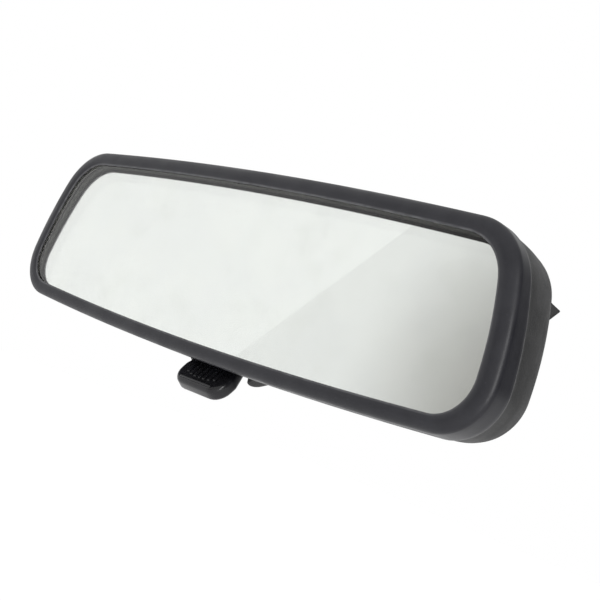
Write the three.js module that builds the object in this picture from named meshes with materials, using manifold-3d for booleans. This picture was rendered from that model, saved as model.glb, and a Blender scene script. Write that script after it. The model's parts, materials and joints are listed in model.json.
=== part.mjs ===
// Interior rearview mirror with a day/night toggle, in millimetres, +Z up.
// +X runs along the mirror head to the driver's right, +Y points forward to the windshield.
// The origin is the centre of the adhesive pad's face, where the foot is glued to the windshield.
// Everything is drawn in the head's own frame first: its origin is the centre of the mirror's
// outline in the plane of the bezel's front lip.

import * as THREE from 'three';
import { mergeVertices } from 'three/addons/utils/BufferGeometryUtils.js';
import Module from 'manifold-3d';

const wasm = await Module();
wasm.setup();

// ---------------------------------------------------------------- driving dimensions

const GAP = 0.3;

// A span wide enough for any cut along X through the middle of the head.
const ACROSS = [-30, 30];

// The mirror opening inside the bezel's lip: four shallow arcs joined by corner radii.
const LIP = {
  topZ: 29.3,
  topRadius: 1920,
  bottomZ: -30.1,
  bottomRadius: 1820,
  sideX: 117.1,
  sideZ: -18.8,
  sideRadius: 116,
  topCorner: 17,
  bottomCorner: 12.7,
};

// How far the bezel's outer edge stands outside the lip.
const RIM = { top: 5.9, bottom: 5.2, side: 6.9, corner: 5.2 };
const BEZEL_CROWN = 2.7;
const SEAM_Y = 8.4;
const SEAM_LEAN = -0.052;
const LIP_THICKNESS = 0.9;
const POCKET_OFFSET = 1.7;
const TONGUE_INSET = 2.5;
const TONGUE_LENGTH = 2;

// Prismatic glass: thick edge up.
const GLASS_Y = LIP_THICKNESS + GAP;
const GLASS_THICKNESS = 4.3;
const GLASS_WEDGE = 0.045;
const SILVER_THICKNESS = 0.3;
const FOAM_BACK_Y = 9.6;

// Rear housing: the outer skin's stations from the seam to the crown of its back.
const HOUSING_WALL = 1.6;
const BACK_LEAN = 0.065;
const HOUSING_STATIONS = [
  { y: SEAM_Y + GAP, lean: SEAM_LEAN, top: 5.4, bottom: 4.7, side: 6.3, corner: 4.7 },
  { y: 13, lean: -0.03, top: 5.3, bottom: 4.5, side: 5.8, corner: 4.3 },
  { y: 21, lean: 0.02, top: 4.9, bottom: 3.6, side: 3.9, corner: 3.3 },
  { y: 29.3, lean: BACK_LEAN, top: 3.8, bottom: 1.4, side: 0.3, corner: 1.9 },
  { y: 33.4, lean: BACK_LEAN, top: 1.5, bottom: -1.2, side: -4, corner: 1.2 },
  { y: 36.4, lean: BACK_LEAN, top: -3, bottom: -5.4, side: -10.4, corner: 0.6 },
  { y: 38.2, lean: BACK_LEAN, top: -8.4, bottom: -10.2, side: -20, corner: 0.2 },
  { y: 39, lean: BACK_LEAN, top: -15, bottom: -16, side: -42, corner: -3 },
];
const BACK_WALL = 2.3;

// Ball joint, centred behind the glass. Concentric shells: ball, cup, clamp ring, carrier.
const BALL = { y: 26, z: 2, radius: 7.5 };
const NECK_RADIUS = 4;
const SHELL = 1.2;
const CUP_INNER = BALL.radius + GAP;
const CLAMP_INNER = CUP_INNER + SHELL + GAP;
const SOCKET_INNER = CLAMP_INNER + SHELL + GAP;
const SOCKET_OUTER = SOCKET_INNER + 2;
const MOUTH_ANGLE = 63;
const CLAMP_FRONT_ANGLE = 150;
const REAR_HOLE = { radius: 18.6, front: 30, back: 45 };

// Day/night toggle: the head hangs on a pin at the top of the carrier, and the lever's crank
// pin swings the carrier's tail.
const HINGE = { y: 15, z: 22, pinRadius: 1.5, knuckleRadius: 3.6, halfWidth: 18 };
const HINGE_EAR = { width: 5, front: 10.6, back: 19.4, bottom: 18, top: 33.6 };
const LEVER = { y: 21.2, z: -27, pinRadius: 1.25, hubRadius: 3.8, halfWidth: 14 };
const LEVER_EAR = { width: 4, front: 17.2, back: 25.2, bottom: -34, top: -23.4 };
const TAB_LEAN = 34;
const TAB = {
  top: -2.6,
  length: 22.6,
  rootHalf: 10.8,
  tipHalf: 13.2,
  shoulder: 8,
  flare: 14,
  thickness: 4.6,
  corner: 6,
};
const CRANK = { radius: 4.2, angle: 25, pinRadius: 1.2, eyeRadius: 2.3, neckHalf: 2.1, inner: 5, outer: 7.6 };
const TAIL = { halfWidth: 4.2, prong: 2.2, bottom: -25, slotRoom: 1.6 };
const CARRIER = {
  webFront: 12.4,
  webBack: 15.2,
  webBottom: 4,
  ribX: 12,
  ribHalf: 1.2,
  ribBack: 24,
  ribBottom: -7,
  shelfHalf: 13,
  shelfFront: 14,
  shelfBottom: -8.5,
  shelfTop: -5.7,
  mouthFlare: 4,
  mouthDepth: 12,
};
const SLOT = { halfWidth: 14, front: 6, back: 28, bottom: -42, top: -26.2, mouthHalf: 15.4, mouthTop: -31 };
const CHEEK = { half: 19.4, root: -30, edge: -34.4, depth: -37.2, front: 16, low: 17.2, back: 24.5 };
const RIB = { count: 7, pitch: 2.3, width: 1, height: 0.5, root: 0.2, low: 2.6, high: -5.4 };
const LIP_BAR = { inset: 4.9, low: 0.5, high: 1.7 };

// Detent leaf spring and its screw, and the rubber stop behind the carrier's tail.
const LEAF = { x: 11, halfWidth: 2.6, thickness: 0.5, top: -13, bottom: -27.2 };
const LEAF_SCREW = { z: -17, head: 1.4, headRadius: 2.4, shank: 1, length: 5.5 };
const BOSS = { radius: 3.4, back: 35.6, holeBack: 33 };
const STOP = { halfWidth: 4, top: -17.6, bottom: -23, thickness: 2 };

// Stay arm and windshield foot. The arm leaves the ball yawed, the foot leans with the glass.
const ARM_YAW = 25;
const GLASS_TILT = 27;
const ARM_START = 20;
const STUD_SHANK = { radius: 3, length: 8, shoulder: 0.4 };
const ARM_REACH = 53;
const ARM_DROP = 17;
const ARM_RADIUS = 6;
const ARM_SWELL = 0.45;
const ARM_OVAL = { across: 1.1, upward: 0.92 };
const FOOT = {
  reach: 92.2,
  rise: 39.6,
  halfWidth: 13.2,
  halfLength: 18,
  thickness: 11,
  corner: 1.6,
  toeHalfWidth: 15.2,
  toeFlare: 4,
  toeSetBack: 1.5,
};
const FLANGE = { halfWidth: 13.6, halfLength: 10, thickness: 3.9, corner: 4 };
const FOOT_SCREW = {
  x: 10.2,
  radius: 1.5,
  headRadius: 2.6,
  headHeight: 1.8,
  top: -7.9,
  socket: 1.2,
  socketDepth: 1,
};
const BUTTON = { top: 0.4, bevel: -1.6, bottom: -4.6, bevelWidth: 1.5, narrow: 10.2, wide: 11.2 };
const BUTTON_ENDS = [-14, 15];
const CHANNEL = { clearance: 0.35, endGap: 0.4, mouth: 3 };
const FOOT_SPRING = { halfLength: 9.4, halfWidth: 3.5, bottom: -5.9, top: -5.5, crown: -4.6 };
const SPRING_BED = { halfWidth: 4, halfLength: 10, bottom: -6.3, top: -4 };
const PAD = { bottom: 0.7, top: 1.5, narrow: 8.4, wide: 9.4, halfLength: 14, corner: 1.5, shift: 0.5 };
const SET_SCREW = { y: 13.4, radius: 2, setBack: 0.4, socket: 1.15, socketDepth: 3 };

// ---------------------------------------------------------------- finishes

const finish = (color, roughness, metalness) => ({ color, roughness, metalness });
const FINISH = {
  bezelPlastic: finish('#3b3b42', 0.45, 0),
  housingPlastic: finish('#444446', 0.7, 0),
  leverPlastic: finish('#17171b', 0.3, 0),
  innerPlastic: finish('#2a2a2c', 0.6, 0),
  glass: finish('#d9e2dd', 0.02, 0),
  silver: finish('#d6d8d6', 0.05, 1),
  foam: finish('#1d1d1f', 0.95, 0),
  rubber: finish('#151515', 0.9, 0),
  steel: finish('#a5a7aa', 0.35, 1),
  springSteel: finish('#8a8d92', 0.3, 1),
  blackCasting: finish('#1e1e20', 0.5, 0.3),
  zinc: finish('#9a9c9e', 0.45, 1),
  adhesive: finish('#202022', 0.8, 0),
};

// ---------------------------------------------------------------- solid helpers

const radians = THREE.MathUtils.degToRad;

/** A geometry with shared vertices merged and collapsed triangles dropped. */
function weld(geometry) {
  const bare = geometry.clone();
  bare.deleteAttribute('normal');
  bare.deleteAttribute('uv');
  const merged = mergeVertices(bare, 1e-4);
  const corners = merged.index.array;
  const kept = [];
  for (let i = 0; i < corners.length; i += 3) {
    const [a, b, c] = [corners[i], corners[i + 1], corners[i + 2]];
    if (a !== b && b !== c && c !== a) kept.push(a, b, c);
  }
  merged.setIndex(kept);
  return merged;
}

/** A three.js geometry as a manifold solid. */
function solid(geometry) {
  const welded = weld(geometry);
  return new wasm.Manifold(new wasm.Mesh({
    numProp: 3,
    vertProperties: new Float32Array(welded.attributes.position.array),
    triVerts: new Uint32Array(welded.index.array),
  }));
}

/** A manifold solid as a three.js geometry. */
function surface(manifold) {
  const mesh = manifold.getMesh();
  const geometry = new THREE.BufferGeometry();
  geometry.setAttribute('position', new THREE.BufferAttribute(new Float32Array(mesh.vertProperties), 3));
  geometry.setIndex(Array.from(mesh.triVerts));
  geometry.computeVertexNormals();
  return geometry;
}

const join = (...solids) => solids.reduce((whole, next) => whole.add(next));
const cut = (whole, ...tools) => tools.reduce((rest, tool) => rest.subtract(tool), whole);

/** A box between two corners. */
function block([x0, x1], [y0, y1], [z0, z1]) {
  const box = new THREE.BoxGeometry(x1 - x0, y1 - y0, z1 - z0);
  return solid(box.translate((x0 + x1) / 2, (y0 + y1) / 2, (z0 + z1) / 2));
}

/** A round rod along X between two x values. */
function rodX(radius, [x0, x1], y, z, segments = 24) {
  const rod = new THREE.CylinderGeometry(radius, radius, x1 - x0, segments);
  return solid(rod.rotateZ(Math.PI / 2).translate((x0 + x1) / 2, y, z));
}

/** A round rod along Y between two y values. */
function rodY(radius, x, [y0, y1], z, segments = 24) {
  const rod = new THREE.CylinderGeometry(radius, radius, y1 - y0, segments);
  return solid(rod.translate(x, (y0 + y1) / 2, z));
}

/** A round rod along Z between two z values. */
function rodZ(radius, x, y, [z0, z1], segments = 20) {
  const rod = new THREE.CylinderGeometry(radius, radius, z1 - z0, segments);
  return solid(rod.rotateX(Math.PI / 2).translate(x, y, (z0 + z1) / 2));
}

/** A flat outline drawn in X and Z, given thickness from y0 to y1. */
function slab(shape, [y0, y1]) {
  const plate = new THREE.ExtrudeGeometry(shape, { depth: y1 - y0, bevelEnabled: false, curveSegments: 5 });
  return solid(plate.rotateX(Math.PI / 2).translate(0, y1, 0));
}

/** A flat outline drawn in X and Y, given thickness from z0 to z1. */
function plate(shape, [z0, z1]) {
  const flat = new THREE.ExtrudeGeometry(shape, { depth: z1 - z0, bevelEnabled: false, curveSegments: 5 });
  return solid(flat.translate(0, 0, z0));
}

/** A convex outline with the given corner points, each rounded by its own radius. */
function roundedShape(corners) {
  const shape = new THREE.Shape();
  corners.forEach(([x, z, radius], i) => {
    const corner = new THREE.Vector2(x, z);
    const towards = (other) => new THREE.Vector2(other[0], other[1]).sub(corner).normalize();
    const before = towards(corners[(i + corners.length - 1) % corners.length]);
    const after = towards(corners[(i + 1) % corners.length]);
    const reach = radius / Math.tan(before.angleTo(after) / 2);
    const start = corner.clone().addScaledVector(before, reach);
    const end = corner.clone().addScaledVector(after, reach);
    if (i === 0) shape.moveTo(start.x, start.y);
    else shape.lineTo(start.x, start.y);
    if (radius > 0) shape.quadraticCurveTo(x, z, end.x, end.y);
  });
  shape.closePath();
  return shape;
}

/** A rectangle about the origin with rounded corners. */
function roundedRectangle(halfX, halfY, radius) {
  const corners = [[-halfX, -halfY], [halfX, -halfY], [halfX, halfY], [-halfX, halfY]];
  return roundedShape(corners.map(([x, y]) => [x, y, radius]));
}

/**
 * A skin stretched over rings of points, all rings having the same number of points.
 * An open run of rings gets a flat cap at each end, a looped one closes on its first ring.
 */
function loft(rings, looped = false) {
  const size = rings[0].length;
  const points = rings.flat();
  const index = [];
  const spans = looped ? rings.length : rings.length - 1;
  for (let i = 0; i < spans; i += 1) {
    const here = i * size;
    const there = ((i + 1) % rings.length) * size;
    for (let j = 0; j < size; j += 1) {
      const k = (j + 1) % size;
      index.push(here + j, there + j, there + k, here + j, there + k, here + k);
    }
  }
  if (!looped) {
    const last = (rings.length - 1) * size;
    for (let j = 1; j < size - 1; j += 1) {
      index.push(0, j, j + 1);
      index.push(last, last + j + 1, last + j);
    }
  }
  const geometry = new THREE.BufferGeometry().setFromPoints(points);
  geometry.setIndex(facesOut(points, index) ? index : index.reverse());
  return solid(geometry);
}

/** Whether the triangles enclose a positive volume. */
function facesOut(points, index) {
  let volume = 0;
  const normal = new THREE.Vector3();
  for (let i = 0; i < index.length; i += 3) {
    normal.crossVectors(points[index[i + 1]], points[index[i + 2]]);
    volume += points[index[i]].dot(normal);
  }
  return volume > 0;
}

/** A shape turned about the Y axis, from points of radius and height. */
function turned(profile, segments = 32) {
  return solid(new THREE.LatheGeometry(profile.map(([r, y]) => new THREE.Vector2(r, y)), segments));
}

/** Points of a round stretch about the origin, with angles in degrees from +Y. */
function arc(radius, fromDegrees, toDegrees, steps) {
  return Array.from({ length: steps + 1 }, (_, i) => {
    const angle = radians(fromDegrees + ((toDegrees - fromDegrees) * i) / steps);
    return [Math.abs(radius * Math.sin(angle)), radius * Math.cos(angle)];
  });
}

// ---------------------------------------------------------------- the mirror's outline

const ARC_STEPS = { top: 8, side: 6, bottom: 8, corner: 6 };

/** Where the corner arc between two larger arcs has its centre, on the +X side. */
function cornerCentre(first, second, radius) {
  const a = first.radius - radius;
  const b = second.radius - radius;
  const between = new THREE.Vector2().subVectors(second.centre, first.centre);
  const distance = between.length();
  const along = (a * a - b * b + distance * distance) / (2 * distance);
  const across = Math.sqrt(a * a - along * along);
  const unit = between.divideScalar(distance);
  const base = first.centre.clone().addScaledVector(unit, along);
  const one = base.clone().add(new THREE.Vector2(-unit.y, unit.x).multiplyScalar(across));
  const other = base.clone().add(new THREE.Vector2(unit.y, -unit.x).multiplyScalar(across));
  return one.x > other.x ? one : other;
}

/** Points along an arc about a centre, from one direction to another, without the last one. */
function sweep(centre, radius, from, to, steps) {
  return Array.from({ length: steps }, (_, i) => {
    const angle = from + ((to - from) * i) / steps;
    return new THREE.Vector2(centre.x + radius * Math.cos(angle), centre.y + radius * Math.sin(angle));
  });
}

/** The lip's outline grown by an offset, as points in X and Z that run anticlockwise. */
function outline({ top, bottom, side, corner }) {
  const crown = {
    centre: new THREE.Vector2(0, LIP.topZ - LIP.topRadius),
    radius: LIP.topRadius + top,
  };
  const belly = {
    centre: new THREE.Vector2(0, LIP.bottomZ + LIP.bottomRadius),
    radius: LIP.bottomRadius + bottom,
  };
  const flank = {
    centre: new THREE.Vector2(LIP.sideX - LIP.sideRadius, LIP.sideZ),
    radius: LIP.sideRadius + side,
  };
  const lowRadius = LIP.bottomCorner + corner;
  const highRadius = LIP.topCorner + corner;
  const low = cornerCentre(belly, flank, lowRadius);
  const high = cornerCentre(crown, flank, highRadius);
  const heading = (from, to) => Math.atan2(to.y - from.y, to.x - from.x);
  const lowStart = heading(belly.centre, low);
  const lowEnd = heading(flank.centre, low);
  const highStart = heading(flank.centre, high);
  const highEnd = heading(crown.centre, high);
  const right = [
    ...sweep(belly.centre, belly.radius, -Math.PI / 2, lowStart, ARC_STEPS.bottom / 2),
    ...sweep(low, lowRadius, lowStart, lowEnd, ARC_STEPS.corner),
    ...sweep(flank.centre, flank.radius, lowEnd, highStart, ARC_STEPS.side),
    ...sweep(high, highRadius, highStart, highEnd, ARC_STEPS.corner),
    ...sweep(crown.centre, crown.radius, highEnd, Math.PI / 2, ARC_STEPS.top / 2),
  ];
  const left = right.slice(1).reverse().map((point) => new THREE.Vector2(-point.x, point.y));
  const summit = new THREE.Vector2(0, crown.centre.y + crown.radius);
  return [...right, summit, ...left];
}

const even = (offset) => ({ top: offset, bottom: offset, side: offset, corner: offset });

/** The rim's offset scaled and then pulled in by an even amount. */
function rim(scale, inset = 0) {
  const entries = Object.entries(RIM).map(([key, value]) => [key, value * scale - inset]);
  return Object.fromEntries(entries);
}

/** A ring of points on an offset outline, in a plane at y that leans by a slope in Z. */
function ring(offset, y, lean = 0) {
  return outline(offset).map((point) => new THREE.Vector3(point.x, y + lean * point.y, point.y));
}

// ---------------------------------------------------------------- mirror head

/** Bezel: rounded front frame with a lip over the glass and a tongue inside the housing. */
function makeBezel() {
  const crown = [12, 26, 42, 58, 74, 90].map((degrees) => {
    const angle = radians(degrees);
    return ring(rim(Math.sin(angle)), BEZEL_CROWN * (1 - Math.cos(angle)));
  });
  return loft([
    ring(even(0), LIP_THICKNESS),
    ring(even(0), 0.3),
    ring(even(0.4), 0),
    ...crown,
    ring(rim(1), SEAM_Y, SEAM_LEAN),
    ring(rim(1, TONGUE_INSET), SEAM_Y, SEAM_LEAN),
    ring(rim(1, TONGUE_INSET), SEAM_Y + TONGUE_LENGTH, SEAM_LEAN),
    ring(even(POCKET_OFFSET), SEAM_Y + TONGUE_LENGTH, SEAM_LEAN),
    ring(even(POCKET_OFFSET), LIP_THICKNESS),
  ], true);
}

const glassEdge = even(POCKET_OFFSET - GAP);
const glassBackY = GLASS_Y + GLASS_THICKNESS;

/** Prism glass: a wedge, thicker along its top edge. */
function makeGlass() {
  return loft([ring(glassEdge, GLASS_Y), ring(glassEdge, glassBackY, GLASS_WEDGE)]);
}

/** Silvering: the reflecting film on the back of the wedge. */
function makeSilver() {
  const front = glassBackY + GAP;
  return loft([
    ring(glassEdge, front, GLASS_WEDGE),
    ring(glassEdge, front + SILVER_THICKNESS, GLASS_WEDGE),
  ]);
}

/** Foam: fills the wedge behind the silvering so that the glass sits firm. */
function makeFoam() {
  const edge = even(0.4);
  const front = glassBackY + SILVER_THICKNESS + 2 * GAP;
  return loft([ring(edge, front, GLASS_WEDGE), ring(edge, FOAM_BACK_Y)]);
}

/** The housing's skin, or the hollow inside it when a wall is given. */
function housingBody(wall = 0) {
  const rings = HOUSING_STATIONS.map(({ y, lean, top, bottom, side, corner }) => {
    const backness = THREE.MathUtils.smoothstep(y, SEAM_Y, HOUSING_STATIONS.at(-1).y);
    const inset = wall * (1 + 0.8 * backness);
    const offset = { top: top - inset, bottom: bottom - inset, side: side - inset, corner: corner - inset };
    return ring(offset, wall > 0 ? y - BACK_WALL * backness : y, lean);
  });
  if (wall > 0) rings.unshift(ring(rim(1, 0.6 + wall), 0));
  return loft(rings);
}

/** The two cheeks that swell below the housing, one on each side of the lever's slot. */
function makeCheeks() {
  const { half, root, edge, depth, front, low, back } = CHEEK;
  const inner = SLOT.mouthHalf;
  const across = new THREE.Shape();
  across.moveTo(-half, root);
  across.lineTo(-half, edge);
  across.bezierCurveTo(-half + 4, edge - 0.8, -inner - 2, depth + 0.4, -inner, depth);
  across.lineTo(inner, depth);
  across.bezierCurveTo(inner + 2, depth + 0.4, half - 4, edge - 0.8, half, edge);
  across.lineTo(half, root);
  across.closePath();
  const along = new THREE.Shape();
  along.moveTo(front, root);
  along.lineTo(front, depth + 1.2);
  along.quadraticCurveTo(front, depth, low, depth);
  along.quadraticCurveTo(low + 3, depth + 0.6, back, edge);
  along.lineTo(back, root);
  along.closePath();
  const prism = new THREE.ExtrudeGeometry(along, { depth: 2 * half, bevelEnabled: false, curveSegments: 5 });
  const sideways = new THREE.Matrix4().makeBasis(
    new THREE.Vector3(0, 1, 0),
    new THREE.Vector3(0, 0, 1),
    new THREE.Vector3(1, 0, 0),
  );
  prism.applyMatrix4(sideways).translate(-half, 0, 0);
  return slab(across, [front, back]).intersect(solid(prism));
}

/** A pair of ears, one on each side, just outside a hub of the given half width. */
function ears(halfWidth, { width, front, back, bottom, top }) {
  const pair = [-1, 1].map((side) => {
    const near = side * (halfWidth + 2 * GAP);
    const far = near + side * width;
    return block([Math.min(near, far), Math.max(near, far)], [front, back], [bottom, top]);
  });
  return join(...pair);
}

const leafBackY = LEVER.y + LEVER.hubRadius + GAP + LEAF.thickness;
const tailBackY = LEVER.y + CRANK.radius * Math.sin(radians(CRANK.angle)) + CRANK.pinRadius + GAP + TAIL.prong;

/** Rear housing: the shell behind the bezel, with its bosses, ears, arm hole and lever slot. */
function makeHousing() {
  const outer = join(housingBody(), makeCheeks());
  const shell = cut(outer, housingBody(HOUSING_WALL));
  const stopBlock = block(
    [-STOP.halfWidth, STOP.halfWidth],
    [tailBackY + STOP.thickness + 2 * GAP, BOSS.back],
    [STOP.bottom, STOP.top],
  );
  const leafBoss = rodY(BOSS.radius, LEAF.x, [leafBackY + GAP, BOSS.back], LEAF_SCREW.z);
  const hingeEars = ears(HINGE.halfWidth, HINGE_EAR);
  const leverEars = ears(LEVER.halfWidth, LEVER_EAR);
  return cut(
    join(shell, hingeEars, leverEars, stopBlock, leafBoss),
    rodY(REAR_HOLE.radius, 0, [REAR_HOLE.front, REAR_HOLE.back], BALL.z, 48),
    block([-SLOT.halfWidth, SLOT.halfWidth], [SLOT.front, SLOT.back], [SLOT.bottom, SLOT.top]),
    block([-SLOT.mouthHalf, SLOT.mouthHalf], [SLOT.front, SLOT.back], [SLOT.bottom, SLOT.mouthTop]),
    rodX(HINGE.pinRadius + GAP, ACROSS, HINGE.y, HINGE.z),
    rodX(LEVER.pinRadius + GAP, ACROSS, LEVER.y, LEVER.z),
    rodY(LEAF_SCREW.shank + GAP, LEAF.x, [leafBackY, BOSS.holeBack], LEAF_SCREW.z, 16),
  );
}

/** Detent spring: a leaf screwed to a boss, bearing on the lever's hub. */
function makeLeaf() {
  const strip = block(
    [LEAF.x - LEAF.halfWidth, LEAF.x + LEAF.halfWidth],
    [leafBackY - LEAF.thickness, leafBackY],
    [LEAF.bottom, LEAF.top],
  );
  const hole = [leafBackY - 2 * LEAF.thickness, leafBackY + LEAF.thickness];
  return cut(strip, rodY(LEAF_SCREW.shank + 1.3 * GAP, LEAF.x, hole, LEAF_SCREW.z, 16));
}

/** A pan-head screw along Y with a cross recess, its head at the low end. */
function screwY(x, headY, z, { head, headRadius, shank, length }) {
  const body = join(
    rodY(headRadius, x, [headY, headY + head], z, 20),
    rodY(shank, x, [headY + head - 0.1, headY + head + length], z, 16),
  );
  const slotDepth = [headY - 1, headY + head * 0.5];
  const half = headRadius * 0.6;
  return cut(
    body,
    block([x - half, x + half], slotDepth, [z - 0.3, z + 0.3]),
    block([x - 0.3, x + 0.3], slotDepth, [z - half, z + half]),
  );
}

/** Screw that holds the detent spring. */
function makeLeafScrew() {
  const headY = leafBackY - LEAF.thickness - GAP - LEAF_SCREW.head;
  return screwY(LEAF.x, headY, LEAF_SCREW.z, LEAF_SCREW);
}

/** Rubber stop that the carrier's tail rests against. */
function makeStop() {
  const front = tailBackY + GAP;
  return block([-STOP.halfWidth, STOP.halfWidth], [front, front + STOP.thickness], [STOP.bottom, STOP.top]);
}

// ---------------------------------------------------------------- ball joint, from the ball's centre

/** A spherical cup whose mouth opens towards +Y. */
function cup(inner, outer, steps) {
  return turned([
    ...arc(outer, 180, MOUTH_ANGLE, steps),
    ...arc(inner, MOUTH_ANGLE, 180, steps),
  ]);
}

/** Clamp ring: a band of spring steel round the cup. */
function makeClampRing() {
  const inner = arc(CLAMP_INNER, MOUTH_ANGLE, CLAMP_FRONT_ANGLE, 7);
  const outer = arc(CLAMP_INNER + SHELL, CLAMP_FRONT_ANGLE, MOUTH_ANGLE, 7);
  return turned([...inner, ...outer, inner[0]]);
}

/** Toggle carrier: hinge barrel, web, socket for the ball joint and a forked tail. */
function makeCarrier() {
  const place = (x) => x.translate([0, BALL.y, BALL.z]);
  const barrel = rodX(HINGE.knuckleRadius, [-HINGE.halfWidth, HINGE.halfWidth], HINGE.y, HINGE.z);
  const { webFront, webBack, webBottom, ribX, ribHalf, ribBack, ribBottom } = CARRIER;
  const web = block([-HINGE.halfWidth, HINGE.halfWidth], [webFront, webBack], [webBottom, HINGE.z]);
  const ribs = [-ribX, ribX].map((x) => (
    block([x - ribHalf, x + ribHalf], [webFront, ribBack], [ribBottom, HINGE.z])
  ));
  const { shelfHalf, shelfFront, shelfBottom, shelfTop } = CARRIER;
  const shelf = block([-shelfHalf, shelfHalf], [shelfFront, ribBack], [shelfBottom, shelfTop]);
  const tailZ = LEVER.z + CRANK.radius * Math.cos(radians(CRANK.angle));
  const tailY = LEVER.y + CRANK.radius * Math.sin(radians(CRANK.angle));
  const slotHalf = CRANK.pinRadius + GAP;
  const tail = block(
    [-TAIL.halfWidth, TAIL.halfWidth],
    [tailY - slotHalf - TAIL.prong, tailY + slotHalf + TAIL.prong],
    [TAIL.bottom, shelfTop],
  );
  const socket = place(turned([
    ...arc(SOCKET_OUTER, 180, MOUTH_ANGLE, 10),
    [0, SOCKET_OUTER * Math.cos(radians(MOUTH_ANGLE))],
  ]));
  const hollow = place(turned([
    ...arc(SOCKET_INNER, 180, MOUTH_ANGLE, 10),
    [SOCKET_INNER * Math.sin(radians(MOUTH_ANGLE)) + CARRIER.mouthFlare, CARRIER.mouthDepth],
    [0, CARRIER.mouthDepth],
  ]));
  const slotWidth = [-TAIL.halfWidth - 1, TAIL.halfWidth + 1];
  const slotTop = tailZ + CRANK.pinRadius + TAIL.slotRoom;
  return cut(
    join(barrel, web, ...ribs, shelf, tail, socket),
    hollow,
    rodX(HINGE.pinRadius + GAP, ACROSS, HINGE.y, HINGE.z),
    block(slotWidth, [tailY - slotHalf, tailY + slotHalf], [TAIL.bottom - 1, slotTop]),
  );
}

// ---------------------------------------------------------------- lever, from its pivot

const crankAngle = radians(CRANK.angle - TAB_LEAN);
const crankPin = [CRANK.radius * Math.sin(crankAngle), CRANK.radius * Math.cos(crankAngle)];

/** The finger tab: a plate that hangs from the hub, with grip ribs on its front. */
function makeTab() {
  const { top, length, rootHalf, tipHalf, shoulder, flare, thickness, corner } = TAB;
  const face = roundedShape([
    [-rootHalf, top, 0],
    [-rootHalf, -shoulder, corner / 2],
    [-tipHalf, -flare, corner / 2],
    [-tipHalf, -length, corner],
    [tipHalf, -length, corner],
    [tipHalf, -flare, corner / 2],
    [rootHalf, -shoulder, corner / 2],
    [rootHalf, top, 0],
  ]);
  const front = -thickness / 2;
  const raised = [front - RIB.height, front + RIB.root];
  const ribs = Array.from({ length: RIB.count }, (_, i) => {
    const x = (i - (RIB.count - 1) / 2) * RIB.pitch;
    return block([x - RIB.width / 2, x + RIB.width / 2], raised, [RIB.low - length, RIB.high - shoulder]);
  });
  const lipHalf = tipHalf - LIP_BAR.inset;
  const lip = block([-lipHalf, lipHalf], raised, [LIP_BAR.low - length, LIP_BAR.high - length]);
  return join(slab(face, [front, -front]), ...ribs, lip);
}

/** Toggle lever: two hubs on the pivot pin, the crank's cheeks above and the tab below. */
function makeLever() {
  const sides = [-1, 1].map((side) => {
    const span = (near, far) => [Math.min(side * near, side * far), Math.max(side * near, side * far)];
    const hub = rodX(LEVER.hubRadius, span(CRANK.inner, LEVER.halfWidth), 0, 0);
    const eye = rodX(CRANK.eyeRadius, span(CRANK.inner, CRANK.outer), ...crankPin);
    const neckSpan = [crankPin[0] - CRANK.neckHalf, crankPin[0] + CRANK.neckHalf];
    const neck = block(span(CRANK.inner, CRANK.outer), neckSpan, [0, crankPin[1]]);
    return join(hub, eye, neck);
  });
  return cut(
    join(makeTab(), ...sides),
    rodX(LEVER.pinRadius + GAP, ACROSS, 0, 0),
    rodX(CRANK.pinRadius + GAP, ACROSS, ...crankPin),
  );
}

// ---------------------------------------------------------------- stay arm, from the ball's centre

/** Ball stud: ball, neck and the shank that is pressed into the arm. */
function makeBallStud() {
  const neckAngle = THREE.MathUtils.radToDeg(Math.asin(NECK_RADIUS / BALL.radius));
  return turned([
    ...arc(BALL.radius, 180, neckAngle, 12),
    [NECK_RADIUS, ARM_START - STUD_SHANK.shoulder],
    [STUD_SHANK.radius, ARM_START - STUD_SHANK.shoulder],
    [STUD_SHANK.radius, ARM_START + STUD_SHANK.length],
    [0, ARM_START + STUD_SHANK.length],
  ]);
}

/** The centre line of the arm, from the ball's neck up to the foot. */
function armPath() {
  const tilt = radians(GLASS_TILT);
  const under = FOOT.thickness + GAP + FLANGE.thickness / 2;
  const end = new THREE.Vector3(0, FOOT.reach - under * Math.sin(tilt), FOOT.rise - under * Math.cos(tilt));
  return new THREE.CubicBezierCurve3(
    new THREE.Vector3(0, ARM_START, 0),
    new THREE.Vector3(0, ARM_REACH, 0),
    new THREE.Vector3(0, end.y - ARM_DROP * Math.sin(tilt), end.z - ARM_DROP * Math.cos(tilt)),
    end,
  );
}

/** Stay arm: an oval casting that swells at both ends and ends in a flange under the foot. */
function makeArm(footFrame) {
  const path = armPath();
  const steps = 12;
  const sides = 20;
  const across = new THREE.Vector3(1, 0, 0);
  const rings = Array.from({ length: steps + 1 }, (_, i) => {
    const t = i / steps;
    const centre = path.getPoint(t);
    const upward = new THREE.Vector3().crossVectors(across, path.getTangent(t));
    const radius = ARM_RADIUS + ARM_SWELL * Math.cos(2 * Math.PI * t);
    return Array.from({ length: sides }, (_, j) => {
      const angle = (2 * Math.PI * j) / sides;
      return centre.clone()
        .addScaledVector(across, radius * ARM_OVAL.across * Math.cos(angle))
        .addScaledVector(upward, radius * ARM_OVAL.upward * Math.sin(angle));
    });
  });
  const under = -FOOT.thickness - GAP;
  const flange = plate(
    roundedRectangle(FLANGE.halfWidth, FLANGE.halfLength, FLANGE.corner),
    [under - FLANGE.thickness, under],
  );
  const holes = [-1, 1].map((side) => (
    rodZ(FOOT_SCREW.radius + GAP, side * FOOT_SCREW.x, 0, [under - 12, 0]).transform(footFrame)
  ));
  const boreDepth = [ARM_START - 1, ARM_START + STUD_SHANK.length + GAP];
  return cut(
    join(loft(rings), flange.transform(footFrame)),
    rodY(STUD_SHANK.radius + GAP, 0, boreDepth, 0),
    ...holes,
  );
}

// ---------------------------------------------------------------- windshield foot, from its glass side

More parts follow.
